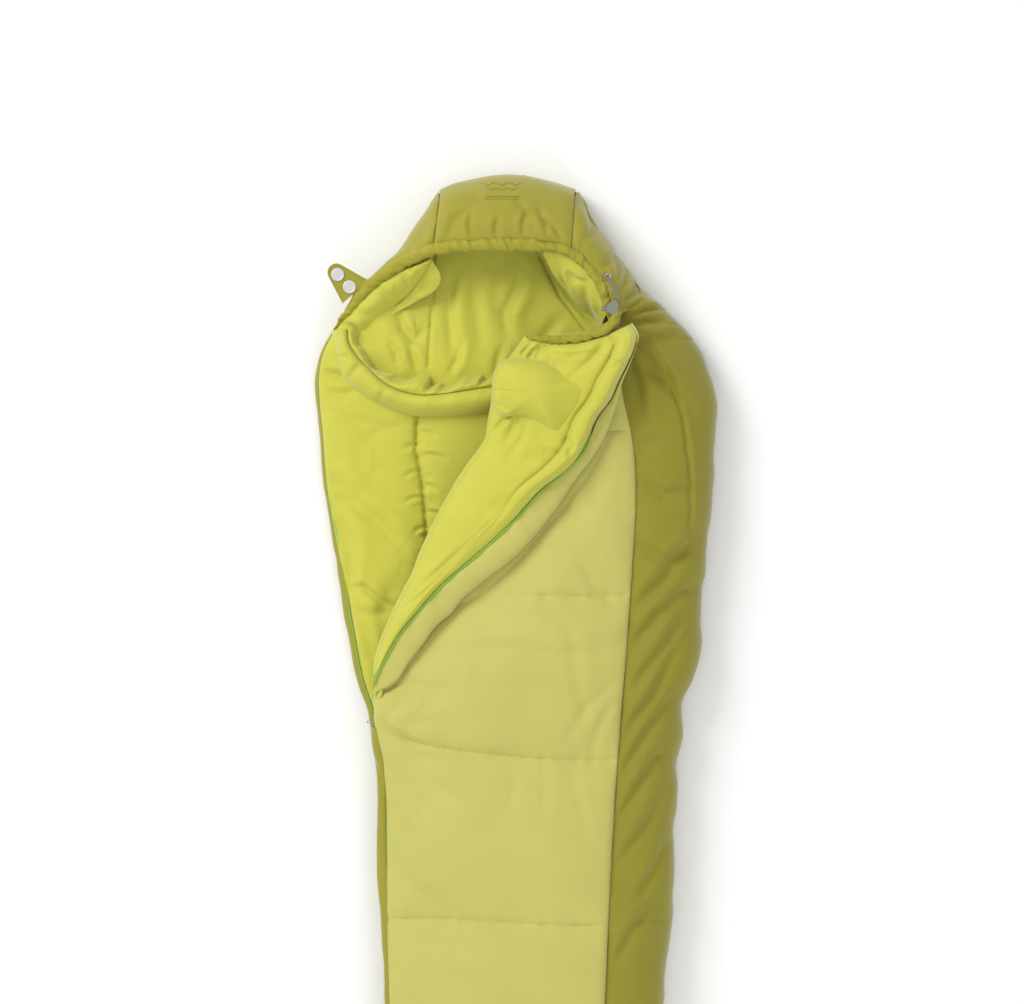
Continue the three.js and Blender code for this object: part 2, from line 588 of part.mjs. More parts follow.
add("cord_lock_button", button.rotateZ(Math.PI / 2), lockPlastic, lock).position.x = -6.4;

export default bag;
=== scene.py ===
"""A mummy sleeping bag, unzipped, with the top's free corner folded back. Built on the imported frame."""
import math

import bpy
import numpy as np
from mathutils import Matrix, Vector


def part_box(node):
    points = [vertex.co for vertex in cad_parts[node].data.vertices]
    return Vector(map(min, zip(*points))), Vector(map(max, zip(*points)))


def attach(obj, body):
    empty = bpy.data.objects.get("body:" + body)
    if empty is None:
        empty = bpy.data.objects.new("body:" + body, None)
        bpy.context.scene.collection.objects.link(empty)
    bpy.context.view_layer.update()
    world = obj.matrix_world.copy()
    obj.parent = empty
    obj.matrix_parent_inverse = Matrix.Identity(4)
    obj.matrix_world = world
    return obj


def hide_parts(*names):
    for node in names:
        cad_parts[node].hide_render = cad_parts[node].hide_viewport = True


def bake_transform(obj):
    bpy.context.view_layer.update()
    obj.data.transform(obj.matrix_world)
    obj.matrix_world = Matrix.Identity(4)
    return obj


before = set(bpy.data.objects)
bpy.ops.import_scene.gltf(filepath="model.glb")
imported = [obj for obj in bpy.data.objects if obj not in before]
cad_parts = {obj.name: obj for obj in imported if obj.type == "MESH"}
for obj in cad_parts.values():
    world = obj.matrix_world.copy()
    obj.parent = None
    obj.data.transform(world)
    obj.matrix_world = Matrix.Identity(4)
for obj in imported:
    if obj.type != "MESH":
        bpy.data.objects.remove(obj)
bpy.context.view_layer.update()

MM = 0.001

# ------------------------------------------------------------------ camera, light and floor
FRAME_WIDTH = 2.048  # metres across the picture at the bag's own height
VIEW_Y = 0.416       # the picture's middle, towards the hood
CAMERA_Z = 9.0


def add_camera():
    data = bpy.data.cameras.new("camera")
    data.sensor_width = 36
    data.lens = data.sensor_width * (CAMERA_Z - 0.1) / FRAME_WIDTH
    camera = bpy.data.objects.new("camera", data)
    camera.location = (0, VIEW_Y, CAMERA_Z)
    bpy.context.collection.objects.link(camera)
    bpy.context.scene.camera = camera


def add_light(name, place, target, size, power):
    data = bpy.data.lights.new(name, "AREA")
    data.size = size
    data.energy = power
    light = bpy.data.objects.new(name, data)
    light.location = place
    aim = np.subtract(target, place)
    pitch = math.atan2(math.hypot(aim[0], aim[1]), -aim[2])
    light.rotation_euler = (pitch, 0, math.atan2(aim[1], aim[0]) - math.pi / 2)
    bpy.context.collection.objects.link(light)


def add_world(strength):
    world = bpy.data.worlds.new("studio")
    world.use_nodes = True
    world.node_tree.nodes["Background"].inputs["Color"].default_value = (1, 1, 1, 1)
    world.node_tree.nodes["Background"].inputs["Strength"].default_value = strength
    bpy.context.scene.world = world


def add_floor():
    floor = bpy.data.objects.new("floor", bpy.data.meshes.new("floor"))
    corners = [(-30, -30, -0.001), (30, -30, -0.001), (30, 30, -0.001), (-30, 30, -0.001)]
    floor.data.from_pydata(corners, [], [(0, 1, 2, 3)])
    floor.data.materials.append(hard("floor_white", (0.97, 0.97, 0.97), 0.8, scratch=0.02))
    bpy.context.collection.objects.link(floor)


add_camera()
add_world(0.72)
add_light("key", (-3.2, 3.4, 3.6), (0, 0.3, 0.1), 2.2, 175)
add_light("fill", (1.2, -3.4, 3.6), (0, 0.8, 0.1), 3.0, 60)
bpy.context.scene.view_settings.view_transform = "Standard"


# ------------------------------------------------------------------ materials
def linear(colour):
    return tuple(c / 12.92 if c < 0.04045 else ((c + 0.055) / 1.055) ** 2.4 for c in colour) + (1.0,)


def node(tree, kind, **inputs):
    made = tree.nodes.new(kind)
    for name, value in inputs.items():
        made.inputs[name.replace("_", " ")].default_value = value
    return made


def cloth(name, colour, rough=0.62, sheen=0.35, thread=0.0011, mottle=0.05, weave=0.25):
    """Fine plain-weave cloth: two crossed thread waves for bump, and a faint uneven dye."""
    material = bpy.data.materials.new(name)
    material.use_nodes = True
    tree = material.node_tree
    shader = tree.nodes["Principled BSDF"]
    shader.inputs["Roughness"].default_value = rough
    shader.inputs["Sheen Weight"].default_value = sheen
    shader.inputs["Sheen Roughness"].default_value = 0.4
    shader.inputs["Specular IOR Level"].default_value = 0.25
    place = tree.nodes.new("ShaderNodeTexCoord").outputs["Object"]
    blotch = node(tree, "ShaderNodeTexNoise", Scale=9.0, Detail=3.0)
    fleck = node(tree, "ShaderNodeTexNoise", Scale=420.0, Detail=2.0)
    for texture in (blotch, fleck):
        tree.links.new(place, texture.inputs["Vector"])
    tone = node(tree, "ShaderNodeMix")
    tone.data_type = "RGBA"
    light, dark = [min(1, c * (1 + mottle)) for c in colour], [c * (1 - mottle) for c in colour]
    tone.inputs["A"].default_value = linear(dark)
    tone.inputs["B"].default_value = linear(light)
    level = node(tree, "ShaderNodeMath")
    level.operation = "MULTIPLY_ADD"
    level.inputs[1].default_value = 0.35
    tree.links.new(fleck.outputs["Fac"], level.inputs[0])
    half = node(tree, "ShaderNodeMath")
    half.operation = "MULTIPLY"
    half.inputs[1].default_value = 0.65
    tree.links.new(blotch.outputs["Fac"], half.inputs[0])
    tree.links.new(half.outputs[0], level.inputs[2])
    tree.links.new(level.outputs[0], tone.inputs["Factor"])
    tree.links.new(tone.outputs["Result"], shader.inputs["Base Color"])
    waves = []
    for direction in ("X", "Y"):
        wave = node(tree, "ShaderNodeTexWave", Scale=0.314 / thread, Distortion=0.3)
        wave.bands_direction = direction
        tree.links.new(place, wave.inputs["Vector"])
        waves.append(wave.outputs["Fac"])
    crossed = node(tree, "ShaderNodeMath")
    crossed.operation = "MULTIPLY"
    for k, wave in enumerate(waves):
        tree.links.new(wave, crossed.inputs[k])
    bump = node(tree, "ShaderNodeBump", Strength=weave, Distance=0.0004)
    tree.links.new(crossed.outputs[0], bump.inputs["Height"])
    tree.links.new(bump.outputs["Normal"], shader.inputs["Normal"])
    return material


def hard(name, colour, rough, metal=0.0, scratch=0.1):
    """Moulded plastic or plated metal with fine handling marks in its roughness."""
    material = bpy.data.materials.new(name)
    material.use_nodes = True
    tree = material.node_tree
    shader = tree.nodes["Principled BSDF"]
    shader.inputs["Base Color"].default_value = linear(colour)
    shader.inputs["Metallic"].default_value = metal
    place = tree.nodes.new("ShaderNodeTexCoord").outputs["Object"]
    marks = node(tree, "ShaderNodeTexNoise", Scale=900.0, Detail=4.0)
    tree.links.new(place, marks.inputs["Vector"])
    span = node(tree, "ShaderNodeMapRange")
    span.inputs["To Min"].default_value = max(0.05, rough - scratch)
    span.inputs["To Max"].default_value = rough + scratch
    tree.links.new(marks.outputs["Fac"], span.inputs["Value"])
    tree.links.new(span.outputs["Result"], shader.inputs["Roughness"])
    bump = node(tree, "ShaderNodeBump", Strength=0.08, Distance=0.0002)
    tree.links.new(marks.outputs["Fac"], bump.inputs["Height"])
    tree.links.new(bump.outputs["Normal"], shader.inputs["Normal"])
    return material


OLIVE = cloth("shell_olive", (0.595, 0.570, 0.186))
# The side panel's olive is the shell olive made darker. This is painted shade for the side that faces away
# from the key light; the real side panel is the same fabric as the hood.
SIDE_PAINTED_SHADE = cloth("shell_side_painted_shade", (0.550, 0.525, 0.158))
RIM = cloth("shell_rim", (0.610, 0.586, 0.170))
PALE = cloth("shell_pale", (0.745, 0.728, 0.385))
LIME = cloth("lining_lime", (0.755, 0.748, 0.278), sheen=0.45)
THREAD = cloth("thread", (0.60, 0.60, 0.20), thread=0.0005)
TAPE = cloth("zip_tape", (0.62, 0.74, 0.24), thread=0.0008, weave=0.6)
CORD = cloth("cord_braid", (0.50, 0.51, 0.47), thread=0.0008, weave=0.8)
COIL = hard("zip_coil", (0.54, 0.70, 0.20), 0.4)
LOCK = hard("lock_plastic", (0.50, 0.50, 0.45), 0.16)
METAL = hard("plated_metal", (0.72, 0.72, 0.72), 0.38, metal=0.85)
SILVER = hard("brushed_silver", (0.79, 0.79, 0.78), 0.5, metal=0.35)


# ------------------------------------------------------------------ curves and noise, in millimetres
def through(knots):
    """A smooth function through (input, value) knots in rising order of input."""
    at, value = np.array(knots, float).T
    slope = np.gradient(value, at)

    def read(t):
        t = np.clip(t, at[0], at[-1])
        k = np.clip(np.searchsorted(at, t, side="right") - 1, 0, len(at) - 2)
        w = at[k + 1] - at[k]
        s = (t - at[k]) / w
        return ((2 * s**3 - 3 * s**2 + 1) * value[k] + (s**3 - 2 * s**2 + s) * w * slope[k]
                + (3 * s**2 - 2 * s**3) * value[k + 1] + (s**3 - s**2) * w * slope[k + 1])

    return read


def line(*points):
    """A smooth curve through points of any dimension: t from 0 to 1 runs evenly along its length."""
    points = np.array(points, float)
    run = run_along(points)
    parts = [through(np.column_stack([run / run[-1], column])) for column in points.T]
    return lambda t: np.stack([part(np.asarray(t, float)) for part in parts], -1)


def mix(a, b, t):
    return a + (b - a) * t


def ramp(t, start, end):
    """Rises smoothly from 0 at start to 1 at end."""
    t = np.clip((t - start) / (end - start), 0, 1)
    return t * t * (3 - 2 * t)


def noise(x, y, seed):
    """Smooth noise from -1 to 1 over a lattice of unit cells."""
    table = np.random.default_rng(seed).uniform(-1, 1, (64, 64))
    i, j = np.floor(x).astype(int), np.floor(y).astype(int)
    fx, fy = x - i, y - j
    fx, fy = fx * fx * (3 - 2 * fx), fy * fy * (3 - 2 * fy)
    a, b = table[i % 64, j % 64], table[(i + 1) % 64, j % 64]
    c, d = table[i % 64, (j + 1) % 64], table[(i + 1) % 64, (j + 1) % 64]
    return mix(mix(a, b, fx), mix(c, d, fx), fy)


def to_path(xy, points):
    """Distance from each place to a polyline, the share of the way along it, and which side it is on."""
    points = np.array(points, float)
    run = run_along(points)
    best = np.full(xy.shape[:-1], 1e9)
    share, side = np.zeros(best.shape), np.zeros(best.shape)
    for k in range(len(points) - 1):
        a, step = points[k], points[k + 1] - points[k]
        t = np.clip(((xy - a) @ step) / (step @ step), 0, 1)
        off = xy - a - t[..., None] * step
        far = np.linalg.norm(off, axis=-1)
        near = far < best
        best = np.where(near, far, best)
        share = np.where(near, (run[k] + t * (run[k + 1] - run[k])) / run[-1], share)
        side = np.where(near, np.sign(step[0] * off[..., 1] - step[1] * off[..., 0]), side)
    return best, share, side


def fold(xy, points, width, depth, ridge=0.5):
    """A drag line in the cloth: a valley along a path with a softer ridge on its left."""
    far, share, side = to_path(xy, points)
    fade = np.sqrt(np.clip(np.sin(np.pi * np.clip(share, 0.02, 0.98)), 0, 1))
    signed = far * side
    valley = np.exp(-((signed / width) ** 2))
    crest = np.exp(-(((signed - 1.7 * width) / (1.3 * width)) ** 2))
    return depth * fade * (ridge * crest - valley)


def folds(xy, marks, wider=1.0, deeper=1.0, ridge=0.5):
    """Several drag lines at once, each with its path, width and depth."""
    return sum(fold(xy, path, wider * width, deeper * depth, ridge) for path, width, depth in marks)


def run_along(points):
    """Distance along a row of points, from 0 at the first."""
    return np.concatenate([[0], np.cumsum(np.linalg.norm(np.diff(points, axis=0), axis=1))])


def pucker(away, along, seed, pitch=17.0, reach=26.0, height=2.6):
    """Gathers that run away from a seam and die out: away and along are distances in millimetres."""
    fine = noise(along / pitch, away / (4 * pitch), seed)
    broad = noise(along / (2.6 * pitch), away / (9 * pitch), seed + 1)
    return height * (np.exp(-away / reach) * fine + 0.9 * np.exp(-away / (2.6 * reach)) * broad)


def pillow(away, width, height):
    """The rounded rise of padding beside a seam."""
    share = np.clip(away / width, 0, 1)
    return height * np.sqrt(np.clip(1 - (1 - share) ** 2, 0, 1))


def grid(nu, nv):
    return np.meshgrid(np.linspace(0, 1, nu + 1), np.linspace(0, 1, nv + 1))


def normals(points):
    across = np.gradient(points, axis=1)
    down = np.gradient(points, axis=0)
    facing = np.cross(across, down)
    return facing / np.maximum(np.linalg.norm(facing, axis=-1, keepdims=True), 1e-9)


def raised(points, height, flip=1):
    return points + flip * normals(points) * height[..., None]


# ------------------------------------------------------------------ the drawcord, in metres
CORD_WIDTH = 0.003
CORD_ROUTES = {
    "drawcord_tail_strand": [
        (0.1881, 0.864, 0.1575), (0.1925, 0.856, 0.163), (0.1964, 0.849, 0.166),
        (0.1995, 0.8425, 0.169), (0.2015, 0.835, 0.171), (0.2022, 0.8295, 0.1717),
        (0.2026, 0.824, 0.172), (0.2027, 0.818, 0.1715), (0.2026, 0.812, 0.171), (0.2026, 0.800, 0.171),
        (0.2026, 0.794, 0.171), (0.2026, 0.788, 0.171), (0.2018, 0.779, 0.1715), (0.1985, 0.773, 0.172),
        (0.1935, 0.768, 0.172),
    ],
    "drawcord_loop_strand": [
        (0.1919, 0.864, 0.1575), (0.1966, 0.856, 0.163), (0.2004, 0.849, 0.166), (0.2034, 0.841, 0.169),
        (0.2060, 0.834, 0.172), (0.2081, 0.831, 0.1732), (0.2100, 0.828, 0.174), (0.2125, 0.821, 0.174),
        (0.2105, 0.815, 0.172), (0.2064, 0.808, 0.171), (0.2064, 0.802, 0.171), (0.2064, 0.796, 0.171),
        (0.2064, 0.7905, 0.171), (0.2064, 0.785, 0.171), (0.2064, 0.776, 0.171),
    ],
}


def build_cord(stands_for):
    """One strand of the hood's drawcord, from its eyelet down through the spring lock."""
    route = CORD_ROUTES[stands_for]
    points = line(*route)(np.linspace(0, 1, 80))
    curve = bpy.data.curves.new(stands_for + "_cord", "CURVE")
    curve.dimensions = "3D"
    curve.bevel_depth = CORD_WIDTH / 2
    curve.bevel_resolution = 4
    curve.use_fill_caps = True
    spline = curve.splines.new("POLY")
    spline.points.add(len(points) - 1)
    for place, at in zip(spline.points, points):
        place.co = (*at, 1)
    curve.materials.append(CORD)
    piece = bpy.data.objects.new(stands_for + "_cord", curve)
    bpy.context.collection.objects.link(piece)
    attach(piece, "bag")
    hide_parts(stands_for)


for strand in CORD_ROUTES:
    build_cord(strand)


# ------------------------------------------------------------------ mesh makers
CLOTH = 1.4  # millimetres: how thick a layer of shell or lining is drawn


def finish(name, vertices, faces, material, body, slot, replaced=()):
    mesh = bpy.data.meshes.new(name)
    mesh.from_pydata((np.asarray(vertices) * MM).tolist(), [], faces)
    mesh.update()
    mesh.polygons.foreach_set("use_smooth", [True] * len(mesh.polygons))
    mesh.materials.append(material)
    piece = bpy.data.objects.new(name, mesh)
    bpy.context.collection.objects.link(piece)
    if body:
        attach(piece, body)
    if replaced:
        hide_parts(*replaced)
    return piece


def sheet_mesh(points, thick, flip=1):
    """A grid of points as a closed cloth layer that has its thickness on the inner side."""
    rows, columns = points.shape[:2]
    inner = points - flip * normals(points) * thick
    vertices = np.concatenate([points.reshape(-1, 3), inner.reshape(-1, 3)])
    index = np.arange(rows * columns).reshape(rows, columns)
    quads = np.stack([index[:-1, :-1], index[:-1, 1:], index[1:, 1:], index[1:, :-1]], -1).reshape(-1, 4)
    half = rows * columns
    rim = np.concatenate([index[0, :], index[1:, -1], index[-1, -2::-1], index[-2:0:-1, 0]])
    nxt = np.roll(rim, -1)
    wall = np.stack([nxt, rim, rim + half, nxt + half], -1)
    faces = np.concatenate([quads, quads[:, ::-1] + half, wall])
    return vertices, (faces if flip > 0 else faces[:, ::-1]).tolist()


def cloth_piece(name, points, material, slot, body="bag", replaced=(), flip=1):
    piece = finish(name, *sheet_mesh(points, CLOTH, flip), material, body, slot, replaced)
    return piece


def tube_points(route, size, sides, steps, gather=0.0, seed=0):
    """Rings of points round a route. size(t) gives width and height; gather is the ruffles' height."""
    t = np.linspace(0, 1, steps + 1)
    centre = route(t)
    along = np.gradient(centre, axis=0)
    along /= np.linalg.norm(along, axis=1, keepdims=True)
    side = np.cross(along, (0, 0, 1))
    side /= np.linalg.norm(side, axis=1, keepdims=True)
    lift = np.cross(side, along)
    turn = np.linspace(0, 2 * np.pi, sides, endpoint=False)
    width, height = np.array([size(a) for a in t]).T
    run = run_along(centre)
    ruffle = gather * noise(run[:, None] / 7 + turn[None] * 0.9, turn[None] * 0.8 + 0 * run[:, None], seed)
    across = (width[:, None] / 2 + ruffle) * np.cos(turn)
    high = (height[:, None] / 2 + ruffle) * np.sin(turn)
    return centre[:, None] + across[..., None] * side[:, None] + high[..., None] * lift[:, None]


def tube_mesh(rings):
    """A closed tube with rounded ends from rings of points."""
    first, last = rings[0].mean(0), rings[-1].mean(0)
    bud = [mix(first, rings[0], k) for k in (0.35, 0.75)]
    tip = [mix(last, rings[-1], k) for k in (0.75, 0.35)]
    push = 0.35 * np.linalg.norm(rings[0][0] - first)
    start = first - rings[1].mean(0)
    start *= push / max(np.linalg.norm(start), 1e-9)
    ending = last - rings[-2].mean(0)
    ending *= push / max(np.linalg.norm(ending), 1e-9)
    rings = np.stack([bud[0] + start, bud[1] + 0.7 * start, *rings,
                      tip[0] + 0.7 * ending, tip[1] + ending])
    count, sides = rings.shape[:2]
    index = np.arange(count * sides).reshape(count, sides)
    after = np.roll(index, -1, axis=1)
    faces = np.stack([index[:-1], after[:-1], after[1:], index[1:]], -1).reshape(-1, 4).tolist()
    faces += [index[0][::-1].tolist(), index[-1].tolist()]
    return rings.reshape(-1, 3), faces


def tube_piece(name, rings, material, slot, body="bag", replaced=()):
    piece = finish(name, *tube_mesh(rings), material, body, slot, replaced)


def stitches(name, route, body, length=3.2, gap=2.2, radius=0.55, material=THREAD):
    """A row of sewn stitches, each a small bead of thread, along a dense line of points."""
    run = run_along(route)
    starts = np.arange(gap, run[-1] - length, length + gap)
    turn = np.linspace(0, 2 * np.pi, 6, endpoint=False)
    vertices, faces = [], []
    for start in starts:
        a, b = (np.array([np.interp(start + k, run, route[:, i]) for i in range(3)]) for k in (0, length))
        along = (b - a) / np.linalg.norm(b - a)
        side = np.cross(along, (0, 0, 1))
        side /= np.linalg.norm(side)
        lift = np.cross(side, along)
        base = len(vertices)
        for share, wide in ((0, 0.3), (0.2, 1), (0.8, 1), (1, 0.3)):
            for angle in turn:
                off = radius * wide * (math.cos(angle) * side + math.sin(angle) * lift)
                vertices.append(mix(a, b, share) + off)
        for ring in range(3):
            for k in range(6):
                m = (k + 1) % 6
                at = base + 6 * ring
                faces.append((at + k, at + m, at + 6 + m, at + 6 + k))
        faces.append(tuple(base + k for k in range(5, -1, -1)))
        faces.append(tuple(base + 18 + k for k in range(6)))
    finish(name, vertices, faces, material, body, "shell_olive")


# ------------------------------------------------------------------ the bag's outline and the frame
FLOOR_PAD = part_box("base_lining")[1].z / MM   # top of the padding under the sleeper
FOOT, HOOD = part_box("base_shell")[0].y / MM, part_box("base_shell")[1].y / MM
right_edge = through([
    (FOOT, 96), (-1062, 160), (-1030, 212), (-970, 246), (-900, 266), (-620, 292), (-400, 312),
    (-290, 318), (-240, 316), (-160, 326), (-110, 318), (-50, 334), (20, 336), (60, 356), (100, 368),
    (180, 370), (240, 372), (300, 380), (380, 388), (460, 396), (540, 400), (600, 400), (650, 392),
    (720, 366), (760, 336), (800, 296), (840, 264), (880, 236), (920, 204), (960, 178), (1000, 156),
    (1036, 134), (1056, 98), (HOOD, 30),
])
left_edge = through([
    (FOOT, -66), (-1062, -128), (-1030, -178), (-970, -214), (-900, -232), (-620, -250), (-400, -264),
    (-290, -272), (-150, -270), (-110, -274), (-60, -282), (0, -294), (60, -314), (120, -326),
    (200, -340), (280, -352), (360, -366), (440, -380), (560, -390), (620, -396), (680, -396),
    (720, -386), (760, -364), (800, -332), (840, -296), (880, -258), (920, -226), (960, -198),
    (1000, -172), (1036, -148), (1056, -112), (HOOD, -30),
])
panel_seam = through([
    (-900, 168), (-600, 184), (-290, 198), (-100, 210), (100, 226), (300, 240), (420, 246), (500, 244),
    (560, 236), (620, 222), (700, 212), (780, 204),
])
EYELET = (190.0, 864, 156)
FOLD_A, FOLD_B = np.array([-280.0, 20, 98]), np.array([36.0, 740, 150])
FOLD_RUN = (FOLD_B - FOLD_A)[:2] / np.linalg.norm((FOLD_B - FOLD_A)[:2])
FOLD_SLOPE = (FOLD_B[2] - FOLD_A[2]) / np.linalg.norm((FOLD_B - FOLD_A)[:2])


def flap_floor(xy):
    """Height of the plane that the folded flap lies on."""
    return FOLD_A[2] + FOLD_SLOPE * ((xy - FOLD_A[:2]) @ FOLD_RUN)


def soft_min(a, b, blend):
    share = np.clip(0.5 + 0.5 * (b - a) / blend, 0, 1)
    return mix(b, a, share) - blend * share * (1 - share)


# ------------------------------------------------------------------ base: shell tray and quilted lining
def build_base():
    v = np.linspace(0, 1, 301)
    y = mix(FOOT, HOOD, 0.5 - 0.5 * np.cos(np.pi * v))
    left, right = left_edge(y)[:, None], right_edge(y)[:, None]
    ends = np.minimum(y - FOOT, HOOD - y)[:, None]
    thick = 42 * np.sqrt(np.clip(1 - (1 - np.clip(ends / 34, 0.01, 1)) ** 2, 0, 1))
    arc = np.linspace(0, np.pi, 19)
    bend = 20.0
    over = [left + bend + 8 + 0 * arc[:1], left + bend - bend * np.sin(arc)]
    under = mix(left + bend, right - bend, np.linspace(0.04, 0.96, 22)[None])
    x = np.concatenate([*over, under, right - bend + bend * np.sin(arc[::-1]), right - bend - 8], axis=1)
    top = np.concatenate([[0.82], np.cos(arc), np.full(22, -1.0), np.cos(arc[::-1]), [0.82]])
    z = 21.5 + thick / 2 * np.sign(top) * np.abs(top) ** 0.8
    points = np.stack([x, np.repeat(y[:, None], x.shape[1], 1), z], -1)
    xy = points[..., :2]
    side = pucker(np.abs(z - 30), xy[..., 1], 11, pitch=30, reach=30, height=1.6)
    points = raised(points, side * (z > 3), -1)
    cloth_piece("base_outer_shell", points, OLIVE, "shell_olive", flip=-1,
                replaced=("base_shell", "base_side_wall", "base_batting"))


# Seams of the padding that the sleeper lies on, and the tucks along the long one: [y, length].
LINING_SEAM = [(-214, -880), (-200, -400), (-186, 0), (-171, 334), (-174, 387), (-181, 454),
               (-194, 520), (-191, 620)]
HOOD_SEAMS = [[(-158, 914), (-160, 820), (-168, 690)], [(56, 914), (96, 830), (150, 760)]]
SEAM_TUCKS = [(560, 16), (536, 20), (514, 28), (480, 22), (452, 14), (428, 24), (398, 22), (366, 16),
              (336, 26)]


def build_base_lining():
    u, v = grid(300, 640)
    y = mix(FOOT + 16, HOOD - 16, v)
    left, right = left_edge(y) + mix(15, 9, ramp(y, 200, 320)), right_edge(y) - 13
    x = mix(left, right, u)
    xy = np.stack([x, y], -1)
    edge = np.minimum(np.minimum(x - left, right - x), np.minimum(y - FOOT - 16, HOOD - 16 - y))
    seam, _, _ = to_path(xy, LINING_SEAM)
    mirrored, _, _ = to_path(xy, [(-a + 10, b) for a, b in LINING_SEAM])
    quilt = np.abs((y + 94 + 164) % 328 - 164)
    quilt = np.where(y < 60, quilt, 400)
    away = np.minimum(np.minimum(edge, seam), np.minimum(mirrored, quilt))
    z = FLOOR_PAD + 2 + pillow(away, 74, 15)
    z -= 7 * np.exp(-((seam / 3.4) ** 2))
    inside = 1 - np.exp(-np.maximum(edge, 0) / 8)
    z += pucker(seam, y, 21, pitch=12, reach=20, height=3.4) * inside
    z += pucker(edge, y, 23, pitch=26, reach=22, height=1.6) * inside
    for path in HOOD_SEAMS:
        far, _, _ = to_path(xy, path)
        z += -5 * np.exp(-((far / 4) ** 2)) + pucker(far, y, 25, pitch=40, reach=30, height=1.2)
    for k, (row, out) in enumerate(SEAM_TUCKS):
        start = -171 - 0.06 * abs(row - 360)
        side = -1 if k % 2 else 1
        tuck = [(start, row), (start + side * out, row - 4), (start + side * 1.7 * out, row - 12)]
        z += fold(xy, tuck, 4.5, 5)
    head = np.clip((y - 660) / 60, 0, 1)
    bowl = np.clip((np.hypot(x / 1.05, (y - 800) / 0.8) - 120) / 120, 0, 1)
    z += head * bowl**2 * 14
    creases = [
        ([(-378, 680), (-352, 672), (-326, 664)], 7, 8),
        ([(-374, 640), (-340, 632), (-312, 640)], 9, 6),
        ([(-350, 596), (-300, 574), (-262, 572)], 13, 5),
        ([(-372, 470), (-330, 438), (-296, 420)], 18, 9),
        ([(-300, 540), (-262, 560), (-222, 566)], 12, 4),
        ([(-366, 420), (-318, 414), (-262, 372), (-222, 326)], 15, 9),
        ([(-352, 390), (-330, 340), (-316, 280)], 16, 8),
        ([(-330, 300), (-322, 262), (-332, 240)], 10, 7),
        ([(-335, 240), (-300, 246), (-262, 216), (-228, 202)], 8, 8),
        ([(-322, 196), (-280, 190), (-236, 196)], 12, 5),
        ([(-306, 178), (-290, 140), (-276, 96)], 12, 6),
        ([(-262, 170), (-256, 210), (-240, 250)], 16, 5),
        ([(-196, 180), (-190, 230), (-176, 300)], 12, 5),
        ([(-120, 880), (-126, 800), (-118, 700)], 12, 8), ([(-70, 900), (-74, 820), (-60, 720)], 16, 6),
        ([(21, 880), (6, 840), (-14, 795), (-9, 752)], 13, 11),
        ([(66, 900), (96, 852), (130, 812), (180, 768)], 12, 10),
        ([(-24, 900), (-34, 840), (-30, 760)], 18, 6),
        ([(-230, 800), (-218, 764), (-196, 742), (-178, 760)], 9, 10),
        ([(-246, 740), (-232, 716), (-228, 690)], 9, 8),
        ([(-206, 730), (-196, 700), (-190, 676)], 8, 7), ([(100, 790), (60, 740), (20, 700)], 14, 6),
        ([(-100, 740), (-110, 700), (-128, 672)], 8, 6), ([(-20, 730), (-30, 696), (-34, 668)], 8, 5),
        ([(-320, 500), (-290, 470), (-262, 480)], 16, 4),
    ]
    z += folds(xy, creases) * inside
    z += 1.6 * noise(x / 70, y / 70, 31) + 0.8 * noise(x / 28, y / 34, 32) * head
    cloth_piece("base_inner_lining", np.stack([x, y, z], -1), LIME, "lining", replaced=("base_lining",))


# ------------------------------------------------------------------ quilted top and the olive side panel
QUILT_Y = (-750, -422, -94, 234, 562)
SEAM_TOP = 122.0


def quilt_dip(y, x, depth=15):
    """How far the cloth sinks towards the sewn lines that cross the panel."""
    bend = 5 * np.sin(x / 90)
    rise = 66 * np.exp(-np.clip(x + 280, 0, 900) / 90)
    rows = [row + (rise if row == QUILT_Y[2] else 0) for row in QUILT_Y]
    away = np.min([np.abs(y - row + bend) for row in rows], axis=0)
    return depth - pillow(away, 110, depth), away


def seam_height(y):
    """Height of the seam between the top's pale centre and its olive side."""
    return SEAM_TOP - 2 + 5 * np.clip(y / 700, 0, 1)


PANEL_LEFT = through([
    (-902, -224), (-660, -243), (-300, -254), (-150, -256), (-100, -261), (-60, -269), (-30, -275),
    (0, -277), (28, -276), (44, -267), (60, -255), (84, -240), (110, -227), (200, -187), (400, -99),
    (735, 48),
])
PANEL_LEFT_Z = through([(-902, 66), (-660, 74), (-60, 82), (0, 92), (60, 100), (120, 98), (735, 142)])


